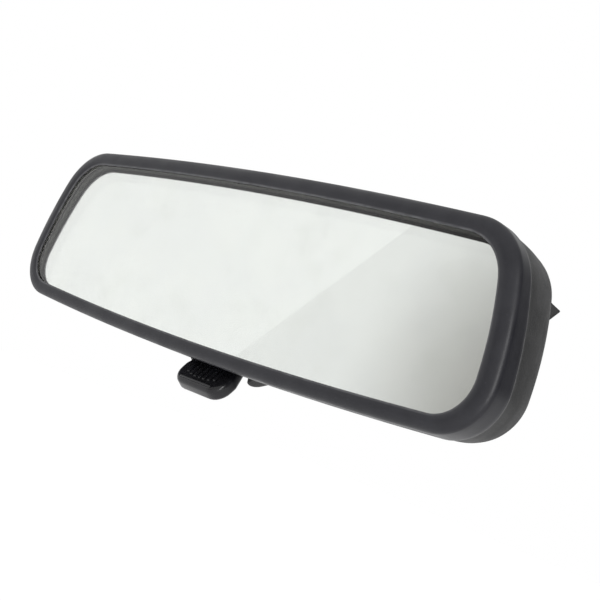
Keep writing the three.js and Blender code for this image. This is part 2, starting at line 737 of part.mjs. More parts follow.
/** The wedge button's section at one end, grown by a clearance. */
function buttonSection(y, halfWidth, clearance, top = BUTTON.top) {
  const neck = halfWidth - BUTTON.bevelWidth + clearance;
  const wide = halfWidth + clearance;
  const corners = [
    [neck, top],
    [neck, BUTTON.top],
    [wide, BUTTON.bevel],
    [wide, BUTTON.bottom - clearance],
  ];
  const used = top > BUTTON.top ? corners : corners.slice(1);
  const mirrored = used.slice().reverse().map(([x, z]) => [-x, z]);
  return [...used, ...mirrored].map(([x, z]) => new THREE.Vector3(x, y, z));
}

/** Windshield button: a wedge with undercut sides, narrower at its upper end. */
function makeButton() {
  return loft([
    buttonSection(BUTTON_ENDS[0], BUTTON.narrow, 0),
    buttonSection(BUTTON_ENDS[1], BUTTON.wide, 0),
  ]);
}

/** The foot's outline at a height, with its flared toe set back by a draft. */
function footSection(z, setBack) {
  const { halfWidth, halfLength, corner, toeHalfWidth, toeFlare } = FOOT;
  const toe = halfLength - setBack;
  const outlineShape = roundedShape([
    [-halfWidth, -halfLength, corner],
    [halfWidth, -halfLength, corner],
    [halfWidth, toe - toeFlare, corner],
    [toeHalfWidth, toe, corner / 4],
    [-toeHalfWidth, toe, corner / 4],
    [-halfWidth, toe - toeFlare, corner],
  ]);
  return outlineShape.getPoints(4).slice(0, -1).map((point) => new THREE.Vector3(point.x, point.y, z));
}

/** Windshield foot: a block with an undercut channel that slides down over the button. */
function makeFoot() {
  const body = loft([footSection(-FOOT.thickness, FOOT.toeSetBack), footSection(0, 0)]);
  const channel = loft([
    buttonSection(BUTTON_ENDS[0] - CHANNEL.endGap, BUTTON.narrow, CHANNEL.clearance, CHANNEL.mouth),
    buttonSection(FOOT.halfLength + 2, BUTTON.wide, CHANNEL.clearance, CHANNEL.mouth),
  ]);
  const springBed = block(
    [-SPRING_BED.halfWidth, SPRING_BED.halfWidth],
    [-SPRING_BED.halfLength, SPRING_BED.halfLength],
    [SPRING_BED.bottom, SPRING_BED.top],
  );
  const below = -FOOT.thickness - 1;
  const holes = [-1, 1].map((side) => (
    rodZ(FOOT_SCREW.radius + GAP, side * FOOT_SCREW.x, 0, [below, FOOT_SCREW.top + GAP])
  ));
  const setHole = rodZ(SET_SCREW.radius + GAP, 0, SET_SCREW.y, [below, SPRING_BED.top]);
  return cut(body, channel, springBed, setHole, ...holes);
}

/** Leaf spring in the foot: an arched strip that presses the button against the channel's lips. */
function makeFootSpring() {
  const { halfLength, halfWidth, bottom, top, crown } = FOOT_SPRING;
  const strip = new THREE.Shape();
  strip.moveTo(-halfLength, bottom);
  strip.lineTo(halfLength, bottom);
  strip.lineTo(halfLength, top);
  strip.quadraticCurveTo(0, crown, -halfLength, top);
  strip.closePath();
  const flat = new THREE.ExtrudeGeometry(strip, {
    depth: 2 * halfWidth,
    bevelEnabled: false,
    curveSegments: 8,
  });
  return solid(flat.translate(0, 0, -halfWidth).rotateY(Math.PI / 2).rotateX(Math.PI / 2));
}

/** Set screw: locks the foot on the button, with a hexagon socket below. */
function makeSetScrew() {
  return cut(
    rodZ(SET_SCREW.radius, 0, SET_SCREW.y, [-FOOT.thickness + SET_SCREW.setBack, BUTTON.bottom - GAP]),
    rodZ(SET_SCREW.socket, 0, SET_SCREW.y, [-FOOT.thickness, -FOOT.thickness + SET_SCREW.socketDepth], 6),
  );
}

/** Screw that holds the arm's flange to the foot. */
function makeFootScrew(side) {
  const under = -FOOT.thickness - GAP - FLANGE.thickness - GAP;
  const { headRadius, headHeight, radius, top, socket, socketDepth } = FOOT_SCREW;
  const x = side * FOOT_SCREW.x;
  const low = under - headHeight;
  return cut(
    join(rodZ(headRadius, x, 0, [low, under]), rodZ(radius, x, 0, [low + socketDepth, top])),
    rodZ(socket, x, 0, [low - 1, low + socketDepth], 6),
  );
}

/** Adhesive pad between the button and the windshield. */
function makePad() {
  const { narrow, wide, halfLength, corner, shift, bottom, top } = PAD;
  const outlineShape = roundedShape([
    [-narrow, shift - halfLength, corner],
    [narrow, shift - halfLength, corner],
    [wide, shift + halfLength, corner],
    [-wide, shift + halfLength, corner],
  ]);
  return plate(outlineShape, [bottom, top]);
}

// ---------------------------------------------------------------- assembly

/** Adds a solid to a group as a named mesh. */
function addPiece(group, name, manifold, { color, roughness, metalness }) {
  const material = new THREE.MeshStandardMaterial({ color, roughness, metalness });
  const mesh = new THREE.Mesh(surface(manifold), material);
  mesh.name = name;
  group.add(mesh);
}

const mirror = new THREE.Group();

const head = new THREE.Group();
addPiece(head, 'bezel', makeBezel(), FINISH.bezelPlastic);
addPiece(head, 'prism_glass', makeGlass(), FINISH.glass);
addPiece(head, 'silvered_backing', makeSilver(), FINISH.silver);
addPiece(head, 'glass_foam_pad', makeFoam(), FINISH.foam);
addPiece(head, 'rear_housing', makeHousing(), FINISH.housingPlastic);
addPiece(head, 'detent_spring', makeLeaf(), FINISH.springSteel);
addPiece(head, 'detent_spring_screw', makeLeafScrew(), FINISH.steel);
addPiece(head, 'carrier_stop_pad', makeStop(), FINISH.rubber);
addPiece(head, 'toggle_carrier', makeCarrier(), FINISH.innerPlastic);
const hingeSpan = HINGE.halfWidth + 2 * GAP + HINGE_EAR.width;
const hingePin = rodX(HINGE.pinRadius, [-hingeSpan, hingeSpan], HINGE.y, HINGE.z);
addPiece(head, 'carrier_hinge_pin', hingePin, FINISH.steel);
const leverSpan = LEVER.halfWidth + 2 * GAP + LEVER_EAR.width;
const leverPin = rodX(LEVER.pinRadius, [-leverSpan, leverSpan], LEVER.y, LEVER.z);
addPiece(head, 'lever_pivot_pin', leverPin, FINISH.steel);
mirror.add(head);

const lever = new THREE.Group();
lever.position.set(0, LEVER.y, LEVER.z);
lever.rotation.x = -radians(TAB_LEAN);
addPiece(lever, 'toggle_lever', makeLever(), FINISH.leverPlastic);
const crankRod = rodX(CRANK.pinRadius, [-CRANK.outer, CRANK.outer], ...crankPin);
addPiece(lever, 'lever_crank_pin', crankRod, FINISH.steel);
mirror.add(lever);

const socket = new THREE.Group();
socket.position.set(0, BALL.y, BALL.z);
addPiece(socket, 'ball_cup', cup(CUP_INNER, CUP_INNER + SHELL, 9), FINISH.innerPlastic);
addPiece(socket, 'clamp_ring', makeClampRing(), FINISH.springSteel);
mirror.add(socket);

const foot = new THREE.Group();
foot.position.set(0, FOOT.reach, FOOT.rise);
foot.rotation.x = -radians(GLASS_TILT);
foot.updateMatrix();
addPiece(foot, 'windshield_foot', makeFoot(), FINISH.blackCasting);
addPiece(foot, 'foot_leaf_spring', makeFootSpring(), FINISH.springSteel);
addPiece(foot, 'set_screw', makeSetScrew(), FINISH.steel);
addPiece(foot, 'foot_screw_left', makeFootScrew(-1), FINISH.steel);
addPiece(foot, 'foot_screw_right', makeFootScrew(1), FINISH.steel);
addPiece(foot, 'windshield_button', makeButton(), FINISH.zinc);
addPiece(foot, 'adhesive_pad', makePad(), FINISH.adhesive);

const arm = new THREE.Group();
arm.position.set(0, BALL.y, BALL.z);
arm.rotation.z = -radians(ARM_YAW);
addPiece(arm, 'ball_stud', makeBallStud(), FINISH.steel);
addPiece(arm, 'stay_arm', makeArm(foot.matrix.toArray()), FINISH.blackCasting);
arm.add(foot);
mirror.add(arm);

mirror.updateMatrixWorld(true);
const padCentre = foot.localToWorld(new THREE.Vector3(0, 0, PAD.top));
mirror.position.copy(padCentre.negate());

export default mirror;
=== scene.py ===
import json
import math

import bmesh
import bpy
import numpy as np
from mathutils import Matrix, Vector


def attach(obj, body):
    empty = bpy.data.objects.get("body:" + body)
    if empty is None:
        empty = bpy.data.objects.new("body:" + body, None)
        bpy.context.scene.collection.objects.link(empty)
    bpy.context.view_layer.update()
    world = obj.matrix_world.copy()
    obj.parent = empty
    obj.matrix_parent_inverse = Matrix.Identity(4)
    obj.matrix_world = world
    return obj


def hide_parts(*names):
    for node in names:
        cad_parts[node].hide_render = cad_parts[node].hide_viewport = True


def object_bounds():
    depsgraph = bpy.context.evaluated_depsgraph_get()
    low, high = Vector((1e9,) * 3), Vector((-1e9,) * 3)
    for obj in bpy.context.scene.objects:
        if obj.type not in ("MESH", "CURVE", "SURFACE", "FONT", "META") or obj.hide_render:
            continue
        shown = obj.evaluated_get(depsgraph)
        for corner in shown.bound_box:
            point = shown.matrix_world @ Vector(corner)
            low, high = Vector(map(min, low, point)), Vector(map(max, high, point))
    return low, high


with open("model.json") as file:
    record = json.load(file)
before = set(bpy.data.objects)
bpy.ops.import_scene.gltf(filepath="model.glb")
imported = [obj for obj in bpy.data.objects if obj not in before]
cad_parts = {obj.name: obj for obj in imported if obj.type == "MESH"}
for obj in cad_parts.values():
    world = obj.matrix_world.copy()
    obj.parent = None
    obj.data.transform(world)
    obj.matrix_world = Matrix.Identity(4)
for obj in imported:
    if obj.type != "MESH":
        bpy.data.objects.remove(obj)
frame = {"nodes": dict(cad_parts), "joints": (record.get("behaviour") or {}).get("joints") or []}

CAD_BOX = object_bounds()

# ---------------------------------------------------------------- where things are
# Shapes are drawn in millimetres in the head's own frame: X to the right, Y away from the
# glass, Z up, from the centre of the glass in the plane of the bezel's front. The joints of
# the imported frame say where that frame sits.

MM = 0.001
GAP = 0.3


def joint_at(name):
    """Where a joint of the frame turns, in metres."""
    joint = next(j for j in frame["joints"] if j["name"] == name)
    return Vector(joint["pos_m"])


BALL = Vector((0, 26, 2))
HINGE = Vector((0, 15, 22))
LEVER = Vector((0, 21.2, -27))
HEAD_ORIGIN = joint_at("mirror_yaw") - BALL * MM
ARM_YAW = math.radians(25)
GLASS_TILT = math.radians(27)
TAB_LEAN = math.radians(34)

IN_HEAD = Matrix.Translation(HEAD_ORIGIN) @ Matrix.Scale(MM, 4)
AT_BALL = IN_HEAD @ Matrix.Translation(BALL)
ON_ARM = AT_BALL @ Matrix.Rotation(-ARM_YAW, 4, "Z")
ON_LEVER = IN_HEAD @ Matrix.Translation(LEVER) @ Matrix.Rotation(-TAB_LEAN, 4, "X")
FOOT_REACH = 92.2
FOOT_RISE = 39.6
FOOT_PLACE = Matrix.Translation((0, FOOT_REACH, FOOT_RISE))
ON_FOOT = ON_ARM @ FOOT_PLACE @ Matrix.Rotation(-GLASS_TILT, 4, "X")

# ---------------------------------------------------------------- the mirror's outline

LIP_TOP = 29.3
LIP_BOTTOM = -30.1
LIP_SIDE = 117.1
TOP_RADIUS = 1920
BOTTOM_RADIUS = 1820
SIDE_RADIUS = 116
SIDE_Z = -18.8
TOP_CORNER = 17
BOTTOM_CORNER = 12.7
RIM = {"top": 5.9, "bottom": 5.2, "side": 6.9, "corner": 5.2}
ARC_STEPS = {"long": 44, "side": 26, "corner": 26}


def corner_centre(first, first_radius, second, second_radius, radius):
    """Centre of the corner arc that runs between two larger arcs, on the +X side."""
    a = first_radius - radius
    b = second_radius - radius
    between = second - first
    distance = between.length
    along = (a * a - b * b + distance * distance) / (2 * distance)
    across = math.sqrt(a * a - along * along)
    unit = between / distance
    base = first + unit * along
    sides = [
        base + Vector((-unit.y, unit.x)) * across,
        base + Vector((unit.y, -unit.x)) * across,
    ]
    return max(sides, key=lambda point: point.x)


def sweep(centre, radius, start, end, steps):
    """Points along an arc, without the last one."""
    angles = [start + (end - start) * i / steps for i in range(steps)]
    return [(centre.x + radius * math.cos(a), centre.y + radius * math.sin(a)) for a in angles]


def outline(top, bottom, side, corner):
    """The lip's outline grown by an offset, as X and Z, anticlockwise from the bottom's middle."""
    crown = Vector((0, LIP_TOP - TOP_RADIUS))
    belly = Vector((0, LIP_BOTTOM + BOTTOM_RADIUS))
    flank = Vector((LIP_SIDE - SIDE_RADIUS, SIDE_Z))
    crown_r, belly_r, flank_r = TOP_RADIUS + top, BOTTOM_RADIUS + bottom, SIDE_RADIUS + side
    low_r, high_r = BOTTOM_CORNER + corner, TOP_CORNER + corner
    low = corner_centre(belly, belly_r, flank, flank_r, low_r)
    high = corner_centre(crown, crown_r, flank, flank_r, high_r)

    def heading(start, end):
        return math.atan2(end.y - start.y, end.x - start.x)

    low_start, low_end = heading(belly, low), heading(flank, low)
    high_start, high_end = heading(flank, high), heading(crown, high)
    right = sweep(belly, belly_r, -math.pi / 2, low_start, ARC_STEPS["long"])
    right += sweep(low, low_r, low_start, low_end, ARC_STEPS["corner"])
    right += sweep(flank, flank_r, low_end, high_start, ARC_STEPS["side"])
    right += sweep(high, high_r, high_start, high_end, ARC_STEPS["corner"])
    right += sweep(crown, crown_r, high_end, math.pi / 2, ARC_STEPS["long"])
    left = [(-x, z) for x, z in reversed(right[1:])]
    return np.array(right + [(0, crown.y + crown_r)] + left)


def even(offset):
    return dict(top=offset, bottom=offset, side=offset, corner=offset)


def ring(offset, y, lean=0.0):
    """A ring of points on an offset outline, in a plane at y that leans by a slope in Z."""
    flat = outline(**offset)
    return np.column_stack([flat[:, 0], y + lean * flat[:, 1], flat[:, 1]])


# ---------------------------------------------------------------- mesh helpers

def make_object(name, vertices, faces, place, sharp=32):
    """A smooth-shaded mesh object in the part's frame, from points in a local frame."""
    mesh = bpy.data.meshes.new(name)
    mesh.from_pydata([place @ Vector(v) for v in vertices], [], faces)
    obj = bpy.data.objects.new(name, mesh)
    bpy.context.scene.collection.objects.link(obj)
    face_outward(mesh)
    smooth(mesh, sharp)
    return obj


def face_outward(mesh):
    """Turns all faces of a closed mesh outward."""
    work = bmesh.new()
    work.from_mesh(mesh)
    bmesh.ops.recalc_face_normals(work, faces=work.faces)
    work.to_mesh(mesh)
    work.free()


def smooth(mesh, sharp=32):
    """Smooth shading, with edges over an angle kept crisp."""
    mesh.shade_smooth()
    mesh.set_sharp_from_angle(angle=math.radians(sharp))


def loft(name, rings, place, looped=False, sharp=32):
    """A skin over rings of points. An open run gets a flat cap at each end."""
    size = len(rings[0])
    count = len(rings)
    vertices = np.concatenate(rings)
    faces = []
    for i in range(count if looped else count - 1):
        here, there = i * size, (i + 1) % count * size
        for j in range(size):
            k = (j + 1) % size
            faces.append((here + j, there + j, there + k, here + k))
    if not looped:
        faces.append(tuple(range(size)))
        faces.append(tuple(reversed(range((count - 1) * size, count * size))))
    return make_object(name, vertices, faces, place, sharp)


def circle(radius, segments):
    """Points round a circle, as pairs."""
    turns = [2 * math.pi * i / segments for i in range(segments)]
    return [(radius * math.cos(a), radius * math.sin(a)) for a in turns]


def lathe(name, profile, place, segments=64, sharp=32):
    """A profile of radius and height turned about Y. A profile that starts off the axis is a ring."""
    hollow = profile[0][0] > 1e-6
    rings = [[(x, y, z) for x, z in circle(max(r, 1e-4), segments)] for r, y in profile]
    return loft(name, np.array(rings), place, hollow, sharp)


def rod(name, radius, start, end, place, axis="X", segments=40, edge=0.2):
    """A round rod with eased ends along an axis, from one coordinate to another."""
    profile = [(0, start), (radius - edge, start), (radius, start + edge)]
    profile += [(radius, end - edge), (radius - edge, end), (0, end)]
    turn = {
        "X": Matrix.Rotation(-math.pi / 2, 4, "Z"),
        "Y": Matrix(),
        "Z": Matrix.Rotation(math.pi / 2, 4, "X"),
    }
    return lathe(name, profile, place @ turn[axis], segments)


def eased_block(name, x, y, z, place, edge=0.4):
    """A block with eased edges between two corners."""
    corners = [(x[i], y[j], z[k]) for i in (0, 1) for j in (0, 1) for k in (0, 1)]
    faces = [(0, 1, 3, 2), (4, 6, 7, 5), (0, 4, 5, 1), (2, 3, 7, 6), (0, 2, 6, 4), (1, 5, 7, 3)]
    block = make_object(name, corners, faces, place)
    if edge > 0:
        bevel(block, edge, 3)
    return block


def bevel(obj, width, segments=2, angle=30):
    """Rounds the sharp edges of an object."""
    modifier = obj.modifiers.new("ease", "BEVEL")
    modifier.width = width * MM
    modifier.segments = segments
    modifier.limit_method = "ANGLE"
    modifier.angle_limit = math.radians(angle)
    modifier.harden_normals = False
    settle(obj)


def settle(obj, sharp=32):
    """Applies an object's modifiers."""
    graph = bpy.context.evaluated_depsgraph_get()
    mesh = bpy.data.meshes.new_from_object(obj.evaluated_get(graph))
    obj.modifiers.clear()
    obj.data = mesh
    smooth(mesh, sharp)


def combine(target, tool, operation):
    """Joins to, or cuts from, a closed mesh with another one, which is used up."""
    modifier = target.modifiers.new("combine", "BOOLEAN")
    modifier.operation = operation
    modifier.solver = "EXACT"
    modifier.object = tool
    settle(target)
    bpy.data.objects.remove(tool)
    return target


def join(target, *tools):
    for tool in tools:
        combine(target, tool, "UNION")
    return target


def cut(target, *tools):
    for tool in tools:
        combine(target, tool, "DIFFERENCE")
    return target


def rounded_outline(corners, steps=8):
    """A closed outline with each corner point rounded by its own radius, as a list of pairs."""
    points = []
    count = len(corners)
    for i, (x, y, radius) in enumerate(corners):
        corner = Vector((x, y))
        before = (Vector(corners[i - 1][:2]) - corner).normalized()
        after = (Vector(corners[(i + 1) % count][:2]) - corner).normalized()
        if radius <= 0:
            points.append(corner)
            continue
        half = before.angle(after) / 2
        centre = corner + (before + after).normalized() * radius / math.sin(half)
        start = corner + before * radius / math.tan(half) - centre
        end = corner + after * radius / math.tan(half) - centre
        turn = start.angle_signed(end)
        for k in range(steps + 1):
            share = turn * k / steps
            spun = Vector((start.x * math.cos(share) + start.y * math.sin(share),
                           start.y * math.cos(share) - start.x * math.sin(share)))
            points.append(centre + spun)
    return points


def inset(points, amount):
    """An outline moved inward by an amount, corner by corner."""
    moved = []
    area = sum(a.x * b.y - b.x * a.y for a, b in zip(points, points[1:] + points[:1]))
    side = 1 if area > 0 else -1
    count = len(points)
    for i, point in enumerate(points):
        along = (points[(i + 1) % count] - points[i - 1]).normalized()
        moved.append(point + Vector((-along.y, along.x)) * amount * side)
    return moved


def pillow(name, points, low, high, place, axes="XYZ", edge=1.0, steps=5):
    """A flat outline given thickness between two heights, with rounded edges all round."""
    sections = []
    for k in range(steps + 1):
        angle = math.pi / 2 * k / steps
        sections.append((edge * (1 - math.sin(angle)), low + edge * (1 - math.cos(angle))))
    sections += [(amount, high + low - height) for amount, height in reversed(sections)]
    rings = []
    for amount, height in sections:
        rings.append([arrange(p.x, p.y, height, axes) for p in inset(points, amount)])
    return loft(name, np.array(rings), place)


def arrange(a, b, height, axes):
    """A point of an outline and its height, in X, Y and Z. XZY stands the outline up facing -Y."""
    return (a, b, height) if axes == "XYZ" else (a, height, b)


# ---------------------------------------------------------------- materials

class Surface:
    """A node material that is built up step by step. Lengths are in millimetres."""

    def __init__(self, name):
        self.material = bpy.data.materials.new(name)
        self.material.use_nodes = True
        self.tree = self.material.node_tree
        self.shader = self.tree.nodes["Principled BSDF"]
        self.where = self.tree.nodes.new("ShaderNodeTexCoord").outputs["Object"]

    def set(self, **sockets):
        for socket, value in sockets.items():
            self.shader.inputs[socket.replace("_", " ")].default_value = value
        return self

    def stretch(self, scale):
        """Object coordinates scaled along each axis, for brushed or drawn marks."""
        node = self.tree.nodes.new("ShaderNodeMapping")
        node.inputs["Scale"].default_value = scale
        self.tree.links.new(self.where, node.inputs["Vector"])
        return node.outputs["Vector"]

    def noise(self, size, detail=3.0, vector=None, rough=0.55):
        node = self.tree.nodes.new("ShaderNodeTexNoise")
        node.inputs["Scale"].default_value = 1 / (size * MM)
        node.inputs["Detail"].default_value = detail
        node.inputs["Roughness"].default_value = rough
        self.tree.links.new(vector or self.where, node.inputs["Vector"])
        return node.outputs["Fac"]

    def cells(self, size):
        node = self.tree.nodes.new("ShaderNodeTexVoronoi")
        node.feature = "SMOOTH_F1"
        node.inputs["Scale"].default_value = 1 / (size * MM)
        self.tree.links.new(self.where, node.inputs["Vector"])
        return node.outputs["Distance"]

    def spread(self, value, low, high, start=0.35, end=0.65):
        """Maps a value from a range to another, smoothly."""
        node = self.tree.nodes.new("ShaderNodeMapRange")
        node.interpolation_type = "SMOOTHSTEP"
        node.inputs["From Min"].default_value = start
        node.inputs["From Max"].default_value = end
        node.inputs["To Min"].default_value = low
        node.inputs["To Max"].default_value = high
        self.tree.links.new(value, node.inputs["Value"])
        return node.outputs["Result"]

    def sum(self, *values):
        total = values[0]
        for value in values[1:]:
            node = self.tree.nodes.new("ShaderNodeMath")
            node.operation = "ADD"
            self.tree.links.new(total, node.inputs[0])
            self.tree.links.new(value, node.inputs[1])
            total = node.outputs[0]
        return total

    def mix(self, share, first, second):
        """Two colours, or two colour sockets, mixed by a share."""
        node = self.tree.nodes.new("ShaderNodeMix")
        node.data_type = "RGBA"
        self.tree.links.new(share, node.inputs[0])
        for socket, colour in ((node.inputs[6], first), (node.inputs[7], second)):
            if isinstance(colour, tuple):
                socket.default_value = (*colour, 1)
            else:
                self.tree.links.new(colour, socket)
        return node.outputs[2]

    def colour(self, value):
        self.tree.links.new(value, self.shader.inputs["Base Color"])
        return self

    def roughness(self, value):
        self.tree.links.new(value, self.shader.inputs["Roughness"])
        return self

    def bump(self, *layers):
        """Stacked bumps, each a height between 0 and 1 with its depth."""
        normal = None
        for height, depth in layers:
            node = self.tree.nodes.new("ShaderNodeBump")
            node.inputs["Strength"].default_value = 1.0
            node.inputs["Distance"].default_value = depth * MM
            self.tree.links.new(height, node.inputs["Height"])
            if normal:
                self.tree.links.new(normal, node.inputs["Normal"])
            normal = node.outputs["Normal"]
        self.tree.links.new(normal, self.shader.inputs["Normal"])
        return self

    def edge_highlight(self):
        """How strongly an edge carries the painted highlight, from the mesh's own per-vertex values."""
        node = self.tree.nodes.new("ShaderNodeAttribute")
        node.attribute_name = "edge_highlight"
        return node.outputs["Fac"]


def plastic(name, dark, light, rough, grain, depth, specular=0.5, edge_highlight_colour=None):
    """Moulded plastic: fine grain, faint colour drift, handling marks, and a paler painted highlight on
    marked edges.
    """
    made = Surface(name)
    drift = made.noise(9, 4)
    fine = made.noise(grain, 5)
    tone = made.mix(made.spread(drift, 0, 1), dark, light)
    speck = made.spread(made.noise(0.7, 2), 0, 1, 0.66, 0.74)
    tone = made.mix(speck, tone, tuple(min(1, c * 1.35) for c in light))
    # Painted highlight: marked edges get a paler colour, broken up by noise, in place of the light they
    # catch.
    if edge_highlight_colour:
        edge = made.tree.nodes.new("ShaderNodeMath")
        edge.operation = "MULTIPLY"
        made.tree.links.new(made.edge_highlight(), edge.inputs[0])
        made.tree.links.new(made.spread(made.noise(3, 3), 0.55, 1), edge.inputs[1])
        tone = made.mix(edge.outputs[0], tone, edge_highlight_colour)
    made.colour(tone)
    handled = made.spread(made.noise(16, 5), rough - 0.06, rough + 0.07)
    made.roughness(made.sum(handled, made.spread(fine, -0.03, 0.03)))
    made.bump((fine, depth), (made.cells(grain * 1.6), depth * 0.6))
    made.set(Specular_IOR_Level=specular)
    return made.material


def metal(name, dark, light, rough, marks=(1, 1, 1), depth=0.006, metallic=1.0):
    """Metal with drawn or tumbled marks, tarnish and a little dirt."""
    made = Surface(name)
    drawn = made.noise(0.5, 4, made.stretch(marks))
    tarnish = made.noise(4, 5)
    tone = made.mix(made.spread(tarnish, 0, 1), dark, light)
    dirt = made.spread(made.noise(1.3, 4), 0, 0.5, 0.58, 0.75)
    tone = made.mix(dirt, tone, tuple(c * 0.45 for c in dark))
    made.colour(tone)
    rubbed = made.spread(drawn, rough - 0.08, rough + 0.08)
    made.roughness(made.sum(rubbed, made.spread(tarnish, 0, 0.08)))
    made.bump((drawn, depth))
    made.set(Metallic=metallic)
    return made.material


def clear_glass(name):
    """Clear glass with a faint green cast and a film of finger marks."""
    made = Surface(name)
    film = made.noise(14, 4)
    marks = made.spread(film, 0, 1, 0.5, 0.75)
    tone = made.mix(marks, (0.985, 0.992, 0.984), (0.96, 0.968, 0.955))
    made.colour(tone)
    made.roughness(made.spread(made.noise(8, 5), 0.0, 0.012, 0.5, 0.8))
    made.bump((made.noise(60, 1), 0.0008))
    made.set(Transmission_Weight=1.0, IOR=1.52)
    return made.material


def ground_glass(name):
    """The ground and blackened edge of the glass."""
    made = Surface(name)
    blacking = made.spread(made.noise(1.2, 4), 0, 1)
    made.colour(made.mix(blacking, (0.085, 0.083, 0.075), (0.13, 0.128, 0.118)))
    made.roughness(made.spread(made.noise(0.8, 3), 0.6, 0.8))
    made.bump((made.noise(0.25, 3), 0.02))
    return made.material


def silvering(name):
    """The mirror's reflecting film, with a very faint haze."""
    made = Surface(name)
    haze = made.noise(22, 4)
    made.colour(made.mix(made.spread(haze, 0, 1), (0.80, 0.815, 0.795), (0.78, 0.795, 0.78)))
    made.roughness(made.spread(made.noise(6, 4), 0.004, 0.02))
    made.bump((made.noise(80, 1), 0.001))
    made.set(Metallic=1.0)
    return made.material


def foam(name):
    """Closed-cell foam."""
    made = Surface(name)
    cell = made.cells(0.5)
    tone = made.spread(cell, 0, 1, 0, 0.6)
    made.colour(made.mix(tone, (0.008, 0.008, 0.009), (0.022, 0.022, 0.024)))
    made.roughness(made.spread(made.noise(2, 3), 0.88, 0.98))
    made.bump((cell, 0.12))
    return made.material


# The bezel's last colour is a painted highlight on the lip and seam edges.
BEZEL = plastic("bezel_satin", (0.011, 0.011, 0.0145), (0.015, 0.015, 0.019),
                0.40, 0.16, 0.008, 0.32, edge_highlight_colour=(0.08, 0.08, 0.085))
# The housing's last colour is a painted highlight along the front seam edge.
HOUSING = plastic("housing_grain", (0.018, 0.018, 0.0185), (0.028, 0.028, 0.0285),
                  0.58, 0.42, 0.05, 0.35, edge_highlight_colour=(0.30, 0.30, 0.30))
GLOSSY = plastic("lever_gloss", (0.004, 0.004, 0.005), (0.007, 0.007, 0.009),
                 0.24, 0.3, 0.003, 0.4, edge_highlight_colour=(0.04, 0.04, 0.045))
INNER = plastic("inner_moulding", (0.018, 0.018, 0.019), (0.028, 0.028, 0.03), 0.55, 0.3, 0.015)
CASTING = plastic("black_casting", (0.012, 0.012, 0.013), (0.020, 0.020, 0.021), 0.5, 0.7, 0.035)
RUBBER = plastic("rubber", (0.008, 0.008, 0.008), (0.014, 0.014, 0.014), 0.85, 0.3, 0.03, 0.3)
PAD = plastic("adhesive_film", (0.012, 0.012, 0.014), (0.02, 0.02, 0.022), 0.7, 0.6, 0.02)
STEEL = metal("bright_steel", (0.42, 0.42, 0.43), (0.60, 0.60, 0.61), 0.3, (1, 0.08, 1))
SPRING = metal("spring_steel", (0.26, 0.27, 0.29), (0.42, 0.43, 0.45), 0.32, (0.1, 1, 1))
ZINC = metal("cast_zinc", (0.36, 0.37, 0.38), (0.50, 0.51, 0.52), 0.48, depth=0.02)
GLASS = clear_glass("mirror_glass")
GROUND_EDGE = ground_glass("ground_glass_edge")
SILVER = silvering("mirror_silver")
FOAM = foam("foam_sheet")


def dress(obj, material):
    """Gives an object one material."""
    obj.data.materials.clear()
    obj.data.materials.append(material)
    return obj


def stand_for(piece, material, body, slot, *nodes):
    """A finished piece that rides on a body in place of CAD nodes."""
    dress(piece, material)
    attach(piece, body)
    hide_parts(*nodes)
    return piece


def paint_edge_highlight(obj, edge_highlight):
    """Writes how strongly each vertex carries the painted edge highlight."""
    layer = obj.data.attributes.new("edge_highlight", "FLOAT", "POINT")
    layer.data.foreach_set("value", np.asarray(edge_highlight, np.float32))


# ---------------------------------------------------------------- bezel and glass

CROWN_DEPTH = 2.7
SEAM_Y = 8.4
SEAM_LEAN = -0.052
LIP_FRONT = 0.62
LIP_EASE = 0.32
SLOPE_WIDTH = 2.3
SLOPE_END = 0.05
CROWN_TOP = 0.04
TONGUE = {"inset": 2.5, "length": 2.0, "pocket": 1.7}
LIP_THICKNESS = 0.9


def towards_rim(start, share, inset_by=0.0):
    """An offset part of the way from an even one to the rim."""
    return {side: start + (reach - start) * share - inset_by for side, reach in RIM.items()}


